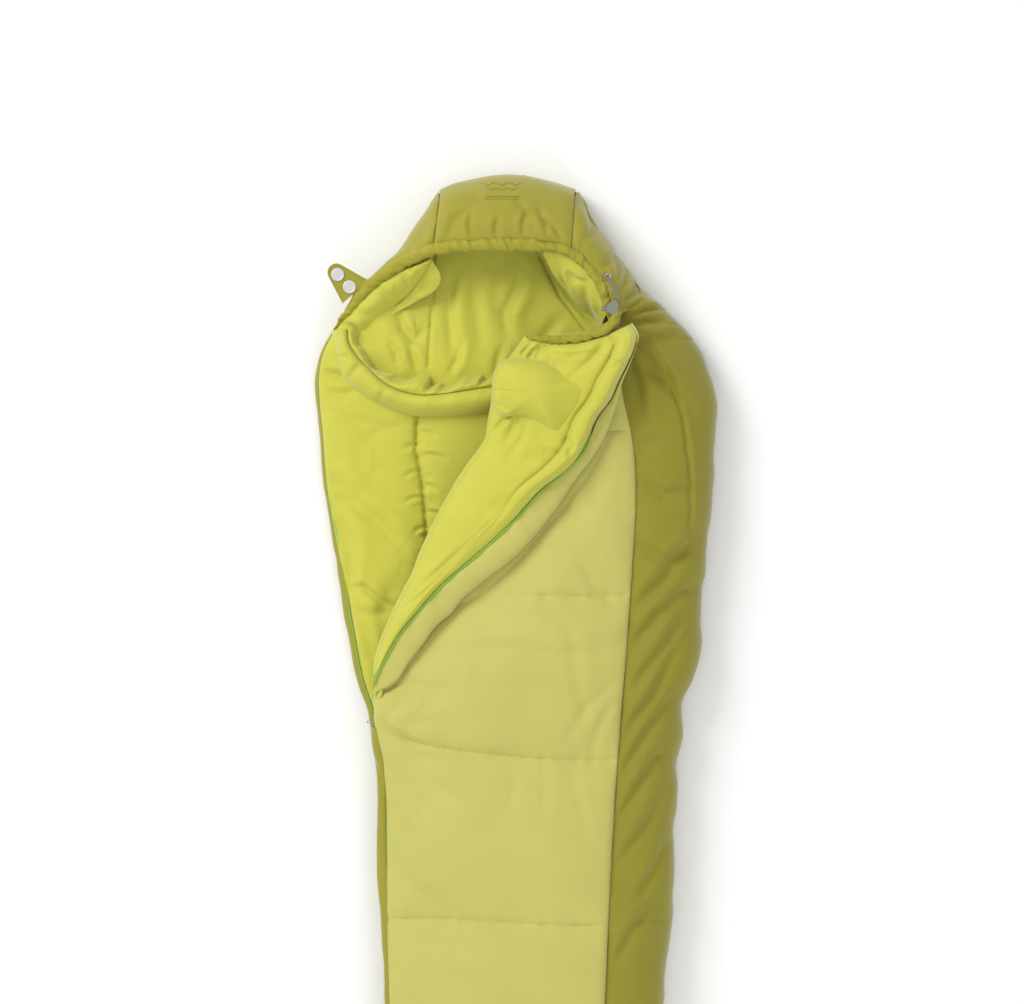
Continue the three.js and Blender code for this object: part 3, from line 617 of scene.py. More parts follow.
def build_top():
    u, v = grid(240, 780)
    y = mix(-904, 735, v)
    left, right = PANEL_LEFT(y), panel_seam(y) + 0.8
    x = mix(left, right, u)
    xy = np.stack([x, y], -1)
    above = np.clip((y - 20) / 720, 0, 1)
    round_ = np.sqrt(np.clip(1 - (2 * u - 1) ** 2, 0, 1))
    z = mix(PANEL_LEFT_Z(y), seam_height(y), u) + mix(46, 26, above) * round_
    dip, away = quilt_dip(y, x)
    z -= dip * np.clip(round_ * 1.6, 0, 1)
    reach = flap_reach(xy)
    z = soft_min(z, flap_floor(xy) - 3 + 0.42 * np.maximum(0, reach - 8) + 0.3 * np.maximum(0, 20 - y), 14)
    sewn = 1 - np.exp(-(right - x) / 5)
    z += pucker(right - x, y, 41, pitch=20, reach=16, height=2.4) * sewn
    z += pucker(x - left, y, 42, pitch=22, reach=30, height=2.2) * (1 - np.exp(-(x - left) / 6))
    z += pucker(away, x, 43, pitch=16, reach=18, height=1.9)
    creases = [
        ([(-240, -60), (-150, -94), (-60, -100), (60, -92)], 14, 5),
        ([(-150, 116), (0, 126), (90, 108), (230, 128)], 13, 6),
        ([(60, 230), (120, 150), (130, 60), (150, -30)], 11, 4.5),
        ([(216, 190), (170, 240), (120, 330)], 9, 4), ([(210, 60), (150, 10), (110, -60)], 9, 5),
        ([(200, 20), (170, -40), (160, -90)], 8, 4),
        ([(-230, -110), (-200, -170), (-150, -230)], 11, 6),
        ([(-190, -105), (-150, -150), (-100, -190)], 10, 5),
        ([(-246, -150), (-226, -220), (-190, -280)], 10, 5),
        ([(-240, 10), (-200, -20), (-150, -20)], 12, 7), ([(-220, 60), (-170, 40), (-110, 44)], 12, 6),
        ([(-210, 30), (-190, 0), (-150, 10)], 9, 5), ([(60, -110), (66, -160), (60, -220)], 9, 3.5),
        ([(0, -110), (4, -150), (-4, -200)], 8, 3), ([(120, -110), (130, -170), (150, -240)], 9, 3.5),
        ([(180, 300), (120, 360), (100, 420)], 12, 4), ([(230, 400), (170, 420), (140, 470)], 10, 4),
        ([(-60, 170), (0, 180), (60, 176)], 14, 5), ([(-40, 130), (-70, 80), (-60, 40)], 14, 4),
        ([(-246, -300), (-190, -360), (-120, -400)], 12, 5),
        ([(-268, 36), (-246, 42), (-226, 56)], 5, 7), ([(-262, 20), (-250, -4), (-246, -30)], 7, 4),
        ([(-212, 60), (-222, 20), (-246, -8)], 10, 6),
        ([(-270, -20), (-232, -46), (-200, -62), (-160, -80)], 5, 4),
        ([(-262, -80), (-246, -120), (-216, -160)], 8, 4),
        ([(-200, -70), (-186, -90), (-150, -100)], 6, 4),
    ]
    z += folds(xy, creases, 1.4, 0.85, 0.3) * sewn
    z += 1.8 * noise(x / 90, y / 90, 45) * sewn
    cloth_piece("top_centre_shell", np.stack([x, y, z], -1), PALE, "shell_pale",
                replaced=("top_panel_shell", "top_panel_batting"))


FLAP_EDGE = [(-290, 20), (-264, 40), (-230, 74), (-204, 106), (-170, 160), (-118, 214), (-60, 240),
             (2, 300), (82, 394), (142, 466), (196, 566), (216, 640), (240, 700), (256, 760)]


def flap_reach(xy):
    """How far a place lies beyond the flap's free edge, on the side away from the fold."""
    far, _, side = to_path(xy, FLAP_EDGE)
    return -far * side


def build_side():
    u, v = grid(150, 760)
    y_top = mix(792, 850, u**0.8)
    y = mix(-902, y_top, v)
    turn = u * np.pi / 2
    start, stop = panel_seam(y) - 0.4, right_edge(y) + 2 - 15 * ramp(y, 802, 838)
    x = mix(start, stop, np.sin(turn) ** 0.88)
    z = mix(24, seam_height(y), np.cos(turn) ** 0.72)
    points = np.stack([x, y, z], -1)
    sewn = 1 - np.exp(-u * 220 / 5)
    puff = pillow(u * 220, 70, 9)
    puff += pucker(u * 220, y, 51, pitch=26, reach=26, height=2.2)
    puff += pucker((1 - u) * 200, y, 52, pitch=34, reach=30, height=2.4)
    puff += 2.4 * noise(x / 80 + y / 160, y / 90, 53)
    dip, _ = quilt_dip(y, x, 8)
    puff -= dip * np.clip(u * 3, 0, 1) * np.clip((1 - u) * 3, 0, 1) * np.where(y < 300, 1, 0.2)
    creases = [
        ([(250, 772), (290, 716), (318, 656), (340, 584), (352, 500), (354, 400), (346, 320)], 6, 3.5),
        ([(216, 770), (262, 776), (300, 770)], 9, 9), ([(222, 758), (270, 742), (330, 740)], 12, 8),
        ([(228, 740), (280, 690), (320, 650)], 14, 7), ([(226, 720), (250, 650), (262, 580)], 14, 7),
        ([(216, 780), (260, 796), (290, 796)], 7, 7), ([(236, 700), (300, 660), (350, 600)], 16, 6),
        ([(250, 330), (300, 300), (370, 320)], 16, 6), ([(244, 200), (300, 260), (372, 360)], 16, 7),
        ([(236, 120), (290, 190), (360, 250)], 15, 7), ([(240, 40), (290, 110), (340, 190)], 14, 7),
        ([(220, -60), (280, 30), (330, 130)], 14, 7), ([(214, -140), (270, -40), (326, 40)], 13, 6),
        ([(206, -230), (260, -140), (310, -60)], 13, 6),
        ([(210, -310), (260, -240), (300, -160)], 13, 5), ([(260, 460), (300, 430), (360, 440)], 14, 5),
        ([(240, 520), (290, 540), (360, 520)], 18, 4), ([(250, -380), (280, -320), (306, -260)], 12, 5),
        ([(200, -520), (240, -440), (290, -380)], 13, 5),
    ]
    puff += folds(points[..., :2], creases, 0.85, 1.4)
    # The side panel takes the darker olive, which is painted shade and not a different fabric.
    cloth_piece("top_side_shell", raised(points, puff * sewn), SIDE_PAINTED_SHADE, "shell_olive",
                replaced=("side_panel_shell", "side_panel_batting"))


# ------------------------------------------------------------------ footbox
def foot_seam_height(x, y):
    """Height of the top, the side panel and the zip cover across the bag, where the footbox joins them."""
    left, right = left_edge(y), right_edge(y)
    across = np.linspace(0, 1, 60)
    panel = mix(PANEL_LEFT(y), panel_seam(y), across)
    crown = mix(PANEL_LEFT_Z(y), seam_height(y), across)
    crown += 46 * np.sqrt(np.clip(1 - (2 * across - 1) ** 2, 0, 1))
    turn = across[1:] * np.pi / 2
    flank = mix(panel_seam(y), right + 2, np.sin(turn) ** 0.88)
    drop = mix(24, seam_height(y), np.cos(turn) ** 0.72) + 9 * np.sin(np.pi * across[1:]) ** 0.5
    places = np.concatenate([[left - 2, left + 3], panel, flank])
    return np.interp(x, places, np.concatenate([[24, 42], crown, drop]))


def build_foot():
    u, v = grid(200, 110)
    side = np.pi * (1 - u)
    y = mix(-901, FOOT + 2, np.sin(v * np.pi / 2) ** 0.9)
    shrink = np.cos(np.clip(v, 0, 1) * np.pi / 2) ** 0.45
    left, right = left_edge(mix(-901, -1000, v)) - 2, right_edge(mix(-901, -1000, v)) + 2
    middle, half = (left + right) / 2, (right - left) / 2
    lean = np.sign(np.cos(side)) * np.abs(np.cos(side)) ** 0.85
    close = mix(1, 0.52, np.clip((v - 0.3) / 0.7, 0, 1) ** 1.8)
    x = middle + half * lean * close
    z = 24 + 124 * np.sin(side) ** 0.62 * shrink
    z = mix(foot_seam_height(x, -901.0) - 1, z, ramp(v, 0, 0.3))
    points = np.stack([x, y, z], -1)
    puff = pillow(v * 170, 60, 8) + 2 * noise(u * 9, v * 4, 61)
    puff += pucker(v * 170, u * 600, 62, pitch=26, reach=24, height=2.6)
    cloth_piece("footbox_shell_cloth", raised(points, puff, -1), OLIVE, "shell_olive", flip=-1,
                replaced=("footbox_shell", "footbox_batting", "foot_wall_shell", "foot_wall_batting"))


# ------------------------------------------------------------------ hood
RIM_LINE = line((-358, 758, 50), (-328, 800, 76), (-282, 852, 96), (-224, 890, 122), (-158, 918, 142),
                (-58, 926, 158), (42, 926, 162), (112, 914, 160), (148, 886, 157), (176, 846, 154),
                (191, 806, 151), (200, 782, 150))


def rim_share(x):
    """The share of the way along the rim, from its left end, at which it reaches x."""
    t = np.linspace(0, 1, 400)
    return float(np.interp(x, RIM_LINE(t)[:, 0], t))


RIM_SPANS = {"hood_left": (0.06, rim_share(-157)), "hood_middle": (rim_share(-157), rim_share(118)),
             "hood_right": (rim_share(118), 1.0)}
HOOD_FEET = {
    "hood_left": line((-354, 777), (-330, 808), (-300, 838), (-262, 880), (-228, 920), (-196, 960),
                      (-170, 1000), (-142, 1044)),
    "hood_middle": line((-142, 1044), (-116, 1056), (-76, 1066), (-40, 1073), (10, 1075), (60, 1068),
                        (126, 1046)),
    "hood_right": line((126, 1046), (146, 1006), (176, 962), (204, 922), (232, 884), (258, 850),
                       (280, 820)),
}
HOOD_WIDTHS = {"hood_left": 320, "hood_middle": 300, "hood_right": 330}
FOOT_INSET = 8.0  # the padding's puff takes the hood's foot out to its outline again


def hood_surface(name, nu, nv, inset=0.0):
    foot, (start, end) = HOOD_FEET[name], RIM_SPANS[name]
    u, v = grid(nu, nv)
    low, high = foot(u), RIM_LINE(mix(start, end, u))
    flat = high[..., :2] - low
    length = np.maximum(np.linalg.norm(flat, axis=-1, keepdims=True), 1e-6)
    turn = v * np.pi / 2
    share = ((1 - np.cos(turn)) ** 0.9)[..., None]
    xy = low + flat / length * (mix(FOOT_INSET + inset, 0, share) + share * (length - 7))
    z = mix(18, high[..., 2] - inset * 0.8, np.sin(turn) ** 0.7)
    return u, v, np.stack([xy[..., 0], xy[..., 1], z], -1)


def build_hood():
    marks = {
        "hood_left": [([(-250, 900), (-210, 930), (-170, 970)], 16, 5),
                      ([(-220, 905), (-180, 940), (-160, 1000)], 12, 5)],
        "hood_middle": [([(-80, 944), (-84, 966), (-80, 990)], 6, 4),
                        ([(-30, 944), (-32, 962), (-26, 980)], 6, 3.5),
                        ([(24, 944), (22, 966), (30, 990)], 6, 4),
                        ([(70, 942), (66, 970), (50, 1000)], 7, 4.5),
                        ([(100, 938), (84, 960), (60, 975)], 6, 4),
                        ([(-130, 944), (-110, 980), (-60, 1010)], 9, 4),
                        ([(10, 1010), (30, 990), (60, 985)], 7, 3.5),
                        ([(-120, 1000), (-70, 1016), (-20, 1000)], 9, 3)],
        "hood_right": [([(140, 930), (160, 960), (150, 1010)], 10, 5),
                       ([(176, 880), (200, 900), (210, 930)], 9, 5),
                       ([(206, 800), (236, 830), (250, 860)], 9, 9),
                       ([(214, 796), (244, 806), (274, 812)], 7, 9),
                       ([(204, 820), (220, 850), (226, 880)], 8, 7),
                       ([(200, 840), (206, 870), (204, 900)], 7, 5)],
    }
    for k, name in enumerate(HOOD_FEET):
        u, v, points = hood_surface(name, 170, 130)
        wide = HOOD_WIDTHS[name]
        edge = np.minimum(u, 1 - u) * wide
        rim = (1 - v) * 160
        puff = mix(8, pillow(np.minimum(edge, rim), 45, 8), ramp(v, 0.05, 0.3))
        sewn = 1 - np.exp(-np.minimum(edge, rim) / 5)
        puff += pucker(edge, v * 160, 71 + k, pitch=18, reach=16, height=2.6) * sewn
        puff += pucker(rim, u * wide, 75 + k, pitch=15, reach=22, height=2.6) * sewn
        puff += 1.8 * noise(u * wide / 60, v * 3, 78 + k) * sewn
        puff += folds(points[..., :2], marks[name], deeper=1.2) * sewn
        thin = np.clip(u * 4, 0.15, 1) if name == "hood_left" else 1
        points = raised(points, puff * thin, -1)
        if name == "hood_right":
            far = np.hypot(points[..., 0] - EYELET[0], points[..., 1] - EYELET[1])
            low = soft_min(points[..., 2], EYELET[2] - 1 + np.clip(far - 8, 0, 99) * 0.9, 3)
            points[..., 2] = np.where(far < 40, low, points[..., 2])
        cloth_piece(name + "_cloth", points, OLIVE, "shell_olive", flip=-1,
                    replaced=(name + "_shell", name + "_batting"))
        if name == "hood_middle":
            build_embroidery(points)
        _, _, inner = hood_surface(name, 60, 40, 22)
        cloth_piece(name + "_lining_cloth", inner, LIME, "lining", flip=-1, replaced=(name + "_lining",))


def build_embroidery(surface):
    """Two nested waves of raised thread on the crown, and two plain bars of stitches under them."""
    flat = surface.reshape(-1, 3)
    for k, (wide, row, height) in enumerate([(84, 1048, 7), (64, 1038, 5), (72, 1025, 0), (72, 1020, 0)]):
        t = np.linspace(-1, 1, 60)
        x = -20 + t * wide / 2
        y = row + height * np.abs(np.sin(1.5 * np.pi * t))
        nearest = [np.argmin(np.hypot(flat[:, 0] - a, flat[:, 1] - b)) for a, b in zip(x, y)]
        route = np.column_stack([x, y, flat[nearest, 2] + 0.9])
        stitches(f"hood_embroidery_{k}", route, "bag", length=4.4, gap=0.4, radius=1.1, material=RIM)


def rim_size(t):
    """Width and height of the drawcord tunnel, which begins thin beside the zip."""
    begun = ramp(t, 0, 0.14)
    width = mix(7, 1, begun) + begun * mix(23, 18, ramp(t, 0.64, 0.78))
    return float(width), float(mix(7, 20, begun))


def build_rim():
    rings = tube_points(RIM_LINE, rim_size, 30, 520, gather=3.0, seed=81)
    tube_piece("hood_rim_cloth", rings, RIM, "shell_olive", replaced=("hood_rim_tunnel",))


def build_side_roll():
    """The puffed edge of the hood's lining on the zip side, and the tuck inside it."""
    outer = line((-364, 748, 46), (-346, 776, 54), (-326, 800, 68), (-272, 850, 92), (-236, 872, 108),
                 (-162, 900, 128))
    inner = line((-300, 744, 44), (-280, 768, 48), (-240, 806, 60), (-206, 834, 78), (-180, 868, 100),
                 (-160, 900, 126))
    creases = [
        ([(-350, 770), (-330, 772), (-300, 756)], 7, 7),
        ([(-320, 800), (-290, 790), (-262, 800)], 9, 4),
        ([(-268, 846), (-240, 820), (-226, 826)], 8, 6),
        ([(-220, 876), (-204, 850), (-190, 850)], 8, 5),
    ]
    pad_between("hood_side_roll_cloth", outer, inner, 34, 83, ("hood_side_roll",), creases)
    outer = line((-290, 762, 46), (-246, 802, 60), (-210, 832, 76), (-184, 866, 96), (-164, 900, 122))
    inner = line((-270, 760, 58), (-246, 786, 66), (-195, 816, 76), (-150, 844, 90), (-142, 862, 102),
                 (-160, 902, 120))
    creases = [([(-250, 790), (-200, 826), (-165, 856)], 6, 4)]
    pad_between("hood_side_tuck", outer, inner, 8, 84, (), creases)


def build_inner_cheek():
    """The hood's lining where it turns down behind the cord lock."""
    u, v = grid(110, 90)
    top = line((66, 920, 152), (118, 904, 152), (154, 874, 149), (180, 838, 147), (194, 796, 143))
    bottom = line((62, 908, 146), (92, 858, 92), (126, 820, 74), (161, 790, 64), (190, 762, 60))
    points = mix(top(u), bottom(u), v[..., None])
    puff = 12 * np.sin(np.pi * v) ** 0.8 * np.clip(u * 3, 0, 1)
    puff += 2 * noise(u * 9, v * 2, 85) * np.clip(u * 4, 0, 1)
    puff += folds(points[..., :2], [
        ([(96, 890), (104, 862), (118, 838)], 6, 7), ([(110, 886), (130, 866), (150, 858)], 5, 5),
        ([(150, 868), (152, 830), (172, 784)], 8, 6),
    ])
    cloth_piece("hood_inner_cheek", raised(points, puff, -1), LIME, "lining", flip=-1)


def pad_between(name, outer, inner, height, seed, replaced, creases):
    """A soft pad of lining between two lines, full in its middle and closed to a point at its far end."""
    u, v = grid(60, 170)
    points = mix(outer(v), inner(v), u[..., None])
    full = height * np.sin(np.pi * u) ** 0.6 * np.clip(1.04 - v, 0.04, 1) ** 0.5
    full += 1.6 * noise(v * 12, u * 3, seed) * np.sin(np.pi * u)
    full += folds(points[..., :2], creases) * np.sin(np.pi * u)
    points[..., 2] += full
    cloth_piece(name, points, LIME, "lining", replaced=replaced)


# ------------------------------------------------------------------ neck collar on the base
def build_collar():
    outer = line((-364, 760), (-358, 738), (-353, 700), (-338, 662), (-304, 632), (-256, 608),
                 (-204, 590), (-144, 586), (-64, 591), (20, 600), (84, 610))
    sewn = line((-330, 762), (-328, 738), (-311, 708), (-286, 682), (-256, 654), (-220, 637),
                (-184, 630), (-144, 632), (-64, 644), (20, 652), (84, 662))
    inner = line((-302, 764), (-304, 738), (-290, 712), (-270, 686), (-240, 672), (-208, 664),
                 (-164, 664), (-130, 664), (-64, 668), (20, 678), (92, 694))
    u, v = grid(120, 420)
    share = 0.6  # of the width is the puffed body, and the rest is the ruffled frill
    run = v * 520
    before, after = np.clip(u / share, 0, 1), np.clip((u - share) / (1 - share), 0, 1)
    flat = mix(mix(outer(v), sewn(v), before[..., None]), inner(v), after[..., None])
    ruffle = noise(run / 17, u, 91) + 0.8 * noise(run / 34, u, 92)
    flat = flat + (inner(v) - sewn(v)) * (0.3 * ruffle * after)[..., None]
    body = np.where(u < share, 22 * np.sin(np.pi * before) ** 0.5, 15 * np.sin(np.pi * after) ** 0.5)
    floor = np.where(u < share, 42 * before**0.45, mix(42, 4, after**2))
    z = FLOOR_PAD + floor + body
    away = np.abs(u - share) * 80
    z += pucker(away, run, 93, pitch=11, reach=12, height=2.6) * (1 - np.exp(-away / 3))
    z += 6 * ruffle * np.sin(np.pi * after) + 1.4 * noise(run / 40, u * 3, 94)
    z += folds(flat, [
        ([(-356, 716), (-346, 708), (-330, 706)], 5, 5), ([(-330, 660), (-318, 676), (-304, 690)], 7, 4),
        ([(-270, 612), (-262, 628), (-252, 640)], 7, 3),
    ])
    points = np.stack([flat[..., 0], flat[..., 1], z], -1)
    cloth_piece("neck_collar_cloth", points, LIME, "lining", replaced=("neck_collar",), flip=-1)
    row = points[:, int(round(share * 120)) + 2]
    stitches("neck_collar_stitching", row + (0, 0, 0.4), "bag")


# ------------------------------------------------------------------ flap, folded back with its lining up
FOLD_EDGE = line((-277, 40), (-271, 87), (-254, 147), (-231, 200), (-197, 267), (-167, 340),
                 (-124, 424), (-88, 482), (-64, 514), (-48, 540), (-40, 590), (-30, 640), (-8, 690),
                 (10, 714), (30, 742))
ZIP_EDGE = line((-276, 42), (-274, 60), (-268, 77), (-253, 107), (-230, 147), (-196, 190), (-150, 243),
                (-97, 290), (-64, 318), (2, 380), (56, 440), (108, 480), (144, 520), (174, 588),
                (198, 620), (214, 656), (231, 690), (245, 724), (250, 748), (238, 771))
STRIP_EDGE = line((-277, 30), (-267, 38), (-251, 45), (-227, 62), (-208, 93), (-177, 133), (-150, 170),
                  (-117, 198), (-104, 217), (-64, 252), (2, 304), (82, 394), (128, 462), (160, 504),
                  (184, 544), (198, 580), (211, 620), (218, 650), (232, 684), (244, 716), (248, 742),
                  (238, 765))
GREEN_END = 0.70  # the zip shows along this share of the flap's edge, then the lining rolls over it


def above_floor(xy, height):
    return np.stack([xy[..., 0], xy[..., 1], flap_floor(xy) + height], -1)


def zip_height(v):
    return 4 + 24 * np.clip(v * 5, 0, 1) ** 0.7


def lining_height(u, v, out):
    """The padded lining: low at the fold, full in the middle, with a fat roll along the upper zip edge."""
    rise = np.clip(v * 4, 0.1, 1)
    hill = np.sin(np.pi * np.clip(u, 0, 1) ** 0.85) ** 0.5
    wide = np.maximum(mix(4, 46, ramp(v, 0.3, 0.62)), 4)
    roll = 24 * np.sqrt(np.clip(1 - ((out - wide / 2) / (wide / 2)) ** 2, 0, 1)) * ramp(v, 0.42, 0.66)
    crease = 4 * np.exp(-(((out - wide) / 6) ** 2)) * ramp(v, 0.45, 0.7)
    middle = 17 * hill * rise * (1 - 0.6 * ramp(v, 0.6, 0.75))
    edge = (zip_height(v) - 3) * np.clip(u * 1.3, 0, 1) ** 0.6
    close = np.sqrt(np.clip((1.004 - v) / 0.03, 0.03, 1))
    curl = mix(1, np.sqrt(np.clip(out / 15, 0.01, 1)), ramp(v, 0.64, 0.72))
    return 3 + (edge + middle + roll - crease) * close * curl


def build_flap():
    u, v = grid(200, 560)
    flat = mix(FOLD_EDGE(v), ZIP_EDGE(v), u[..., None])
    flat[..., 1] -= 24 * np.sin(np.pi * np.clip(u, 0, 1)) * ramp(v, 0.86, 1)
    wide = np.linalg.norm(ZIP_EDGE(v) - FOLD_EDGE(v), axis=-1)
    out = (1 - u) * wide
    high = lining_height(u, v, out)
    streak = noise(out / 7, v * 9, 101) * 1.1 * np.exp(-out / 60) * np.clip(v * 3, 0, 1)
    high = high + streak + pucker(out, v * 900, 102, pitch=24, reach=14, height=1.4)
    creases = [
        ([(32, 700), (42, 716), (62, 730)], 6, 11), ([(44, 698), (56, 716), (76, 728)], 6, 8),
        ([(18, 706), (28, 720), (42, 732)], 5, 8),
        ([(66, 716), (110, 704), (160, 712), (196, 740)], 9, 6),
        ([(78, 692), (120, 688), (160, 700)], 10, 6), ([(120, 670), (150, 690), (186, 730)], 8, 7),
        ([(196, 700), (206, 690), (222, 688)], 6, 5), ([(160, 630), (178, 616), (196, 618)], 6, 4),
        ([(106, 548), (116, 524), (112, 500)], 8, 8), ([(60, 520), (90, 510), (104, 490)], 8, 4),
        ([(-2, 596), (-24, 570), (-36, 556)], 6, 7), ([(10, 590), (2, 560), (-16, 530)], 8, 6),
        ([(30, 584), (16, 540), (-10, 500)], 10, 4), ([(-40, 520), (20, 500), (60, 500)], 14, 5),
        ([(-100, 440), (-50, 400), (20, 420)], 14, 3), ([(-200, 250), (-150, 270), (-90, 330)], 9, 3),
        ([(-236, 190), (-180, 232), (-110, 300)], 5, 2.5),
        ([(-230, 210), (-176, 252), (-104, 320)], 5, 2.5),
    ]
    lining = above_floor(flat, np.maximum(high + folds(flat, creases), 1.5))
    cloth_piece("flap_lining_cloth", lining, LIME, "lining", "flap", ("flap_lining", "flap_draft_tube"))


def build_flap_edge():
    """The pale shell that shows below the flap's zip and turns in under the flap."""
    u, v = grid(100, 560)
    inner, outer = ZIP_EDGE(v), STRIP_EDGE(v)
    arc = u * np.pi
    out = inner + (outer - inner) * (np.sin(np.clip(arc, 0, np.pi / 2)) ** 0.9)[..., None]
    tuck = np.clip((u - 0.5) * 2, 0, 1)
    out = mix(out, mix(outer, FOLD_EDGE(v), 0.93), (tuck**1.3)[..., None])
    top = zip_height(v) - 1 - 10 * ramp(v, GREEN_END, 0.8)
    high = np.where(u < 0.5, mix(3, top, np.cos(np.clip(arc, 0, np.pi / 2)) ** 0.6), mix(3, 0.8, tuck))
    shell = above_floor(out, high * np.sqrt(np.clip((1.004 - v) / 0.03, 0.03, 1)))
    puff = pillow(u * 120, 26, 5) * np.clip(v * 6, 0, 1) * (u < 0.5) * np.clip((0.5 - u) * 8, 0, 1)
    drag = pucker(u * 100, v * 950, 105, pitch=19, reach=40, height=4.4) * (1 - np.exp(-u * 100 / 5))
    puff += drag * (u < 0.45) * np.clip(v * 6, 0, 1) * (1 - ramp(v, 0.75, 0.85))
    points = shell + puff[..., None] * (0, 0, 1)
    cloth_piece("flap_edge_shell", points, PALE, "shell_pale", "flap", ("flap_shell", "flap_batting"))


def build_fold_roll():
    """The lining's turn round the folded edge, from the inside of the top up to the flap."""
    u, v = grid(26, 460)
    zip_end = np.linspace(-44, 34, 30)
    beside_zip = np.column_stack([PANEL_LEFT(zip_end) + 3, zip_end])
    path = np.concatenate([beside_zip, FOLD_EDGE(np.linspace(0.03, 1, 300))])
    far = run_along(path)
    edge = np.stack([np.interp(v * far[-1], far, path[:, k]) for k in (0, 1)], -1)
    along = np.gradient(edge, axis=0)
    away = np.stack([-along[..., 1], along[..., 0]], -1) / np.linalg.norm(along, axis=-1, keepdims=True)
    turn = (u - 0.5) * np.pi
    tuck = np.clip(np.abs(u - 0.5) * 2 - 0.8, 0, 1) * 5
    ends = ramp(edge[..., 1], 30, 110)
    out = (1 + 8 * ends + 1.2 * noise(v * 40, u * 3, 115)) * np.cos(turn) - 10 * tuck - 2
    xy = edge + away * out[..., None]
    top = mix(PANEL_LEFT_Z(edge[..., 1]) - 5, flap_floor(edge), ramp(edge[..., 1], 0, 60))
    z = top - 14 + 19 * np.sin(turn)
    roll = cloth_piece("flap_fold_roll", np.stack([xy[..., 0], xy[..., 1], z], -1), LIME, "lining", None)
    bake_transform(roll)


def build_neck_edge():
    """The hem that closes the quilted top at the neck, under the folded flap."""
    u, v = grid(20, 140)
    x = mix(26, 212, v)
    xy = np.stack([x, 728 + 0 * x], -1)
    turn = (u - 0.5) * np.pi
    y = 729 + 10 * np.cos(turn) ** 0.8 + 1.2 * noise(v * 14, u * 3, 117) * np.cos(turn)
    z = flap_floor(xy) - 17 + 16 * np.sin(turn)
    cloth_piece("top_neck_edge", np.stack([x, y, z], -1), RIM, "shell_olive", flip=-1)


def build_lobe():
    """The neck collar's padded end, which lies folded over with the flap."""
    around = line((-39, 640), (-38, 662), (-32, 680), (-20, 695), (2, 701), (40, 700), (88, 684),
                  (124, 664), (166, 642), (160, 604), (132, 568), (98, 540), (66, 560), (34, 582),
                  (4, 588), (-20, 586), (-34, 600), (-39, 620), (-39, 640))
    u, v = grid(280, 90)
    flat = mix(np.array([50.0, 634]), around(u), v[..., None])
    x, y = flat[..., 0], flat[..., 1]
    blunt = mix(0.55, 1.0, ramp(x + 0.5 * (640 - y), 40, 130))
    dome = 42 * np.clip(1 - v**2.4, 0, 1) ** blunt
    high = 14 + dome * mix(1, 0.72, ramp(x, 60, 150)) - 8 * ramp(v, 0.9, 1)
    inside = np.clip((1 - v) * 9, 0, 1)
    high += folds(flat, [
        ([(14, 596), (-10, 616), (-28, 650)], 8, 6), ([(10, 594), (-12, 602), (-32, 612)], 6, 5),
        ([(60, 680), (90, 650), (120, 600)], 26, 3),
    ]) * inside
    high += 1.4 * noise(x / 44, y / 44, 111) * inside
    cloth_piece("flap_collar_cloth", above_floor(flat, high), LIME, "lining", "flap", ("flap_collar",),
                flip=-1)


def build_hem():
    """The gathered olive hem along the flap's neck edge."""
    flat = line((30, 743, 0), (56, 741, 0), (98, 739, 0), (132, 742, 0), (164, 750, 0), (188, 761, 0),
                (205, 777, 0), (212, 794, 0))
    flat = flat(np.linspace(0, 1, 40))
    lifted = line(*np.column_stack([flat[:, :2], flap_floor(flat[:, :2]) + 14]))
    width = through([(0, 3), (0.15, 13), (0.4, 16), (0.75, 19), (0.92, 18), (1, 9)])
    rings = tube_points(lifted, lambda t: width(t) * np.array([1, 0.9]), 24, 260, gather=3.4, seed=121)
    tube_piece("flap_hem_cloth", rings, RIM, "shell_olive", "flap", ("flap_hem",))


# ------------------------------------------------------------------ zips
COIL_PITCH = 2.2


def zip_coil(name, route, body, replaced, wide=3.4, high=3.0):
    """A nylon coil: a fine cord with a turn every couple of millimetres."""
    length = float(run_along(route(np.linspace(0, 1, 200)))[-1])

    def size(t):
        turn = 1 + 0.11 * math.sin(2 * math.pi * t * length / COIL_PITCH)
        return wide * turn, high * turn

    rings = tube_points(route, size, 8, int(length / 0.55))
    finish(name, *tube_mesh(rings), COIL, body, "zip_coil", replaced)


def zip_tape(name, one_edge, other_edge, body, replaced, flip=1):
    u, v = grid(6, 200)
    points = mix(one_edge(v), other_edge(v), u[..., None])
    finish(name, *sheet_mesh(points, 0.9, flip), TAPE, body, "zip_tape", replaced)


def zip_stop(name, at, body, replaced):
    route = line(np.subtract(at, (0, 3, 0)), at, np.add(at, (0, 3, 0)))
    rings = tube_points(route, lambda t: (4.6, 3.8), 16, 10)
    finish(name, *tube_mesh(rings), METAL, body, "metal", replaced)


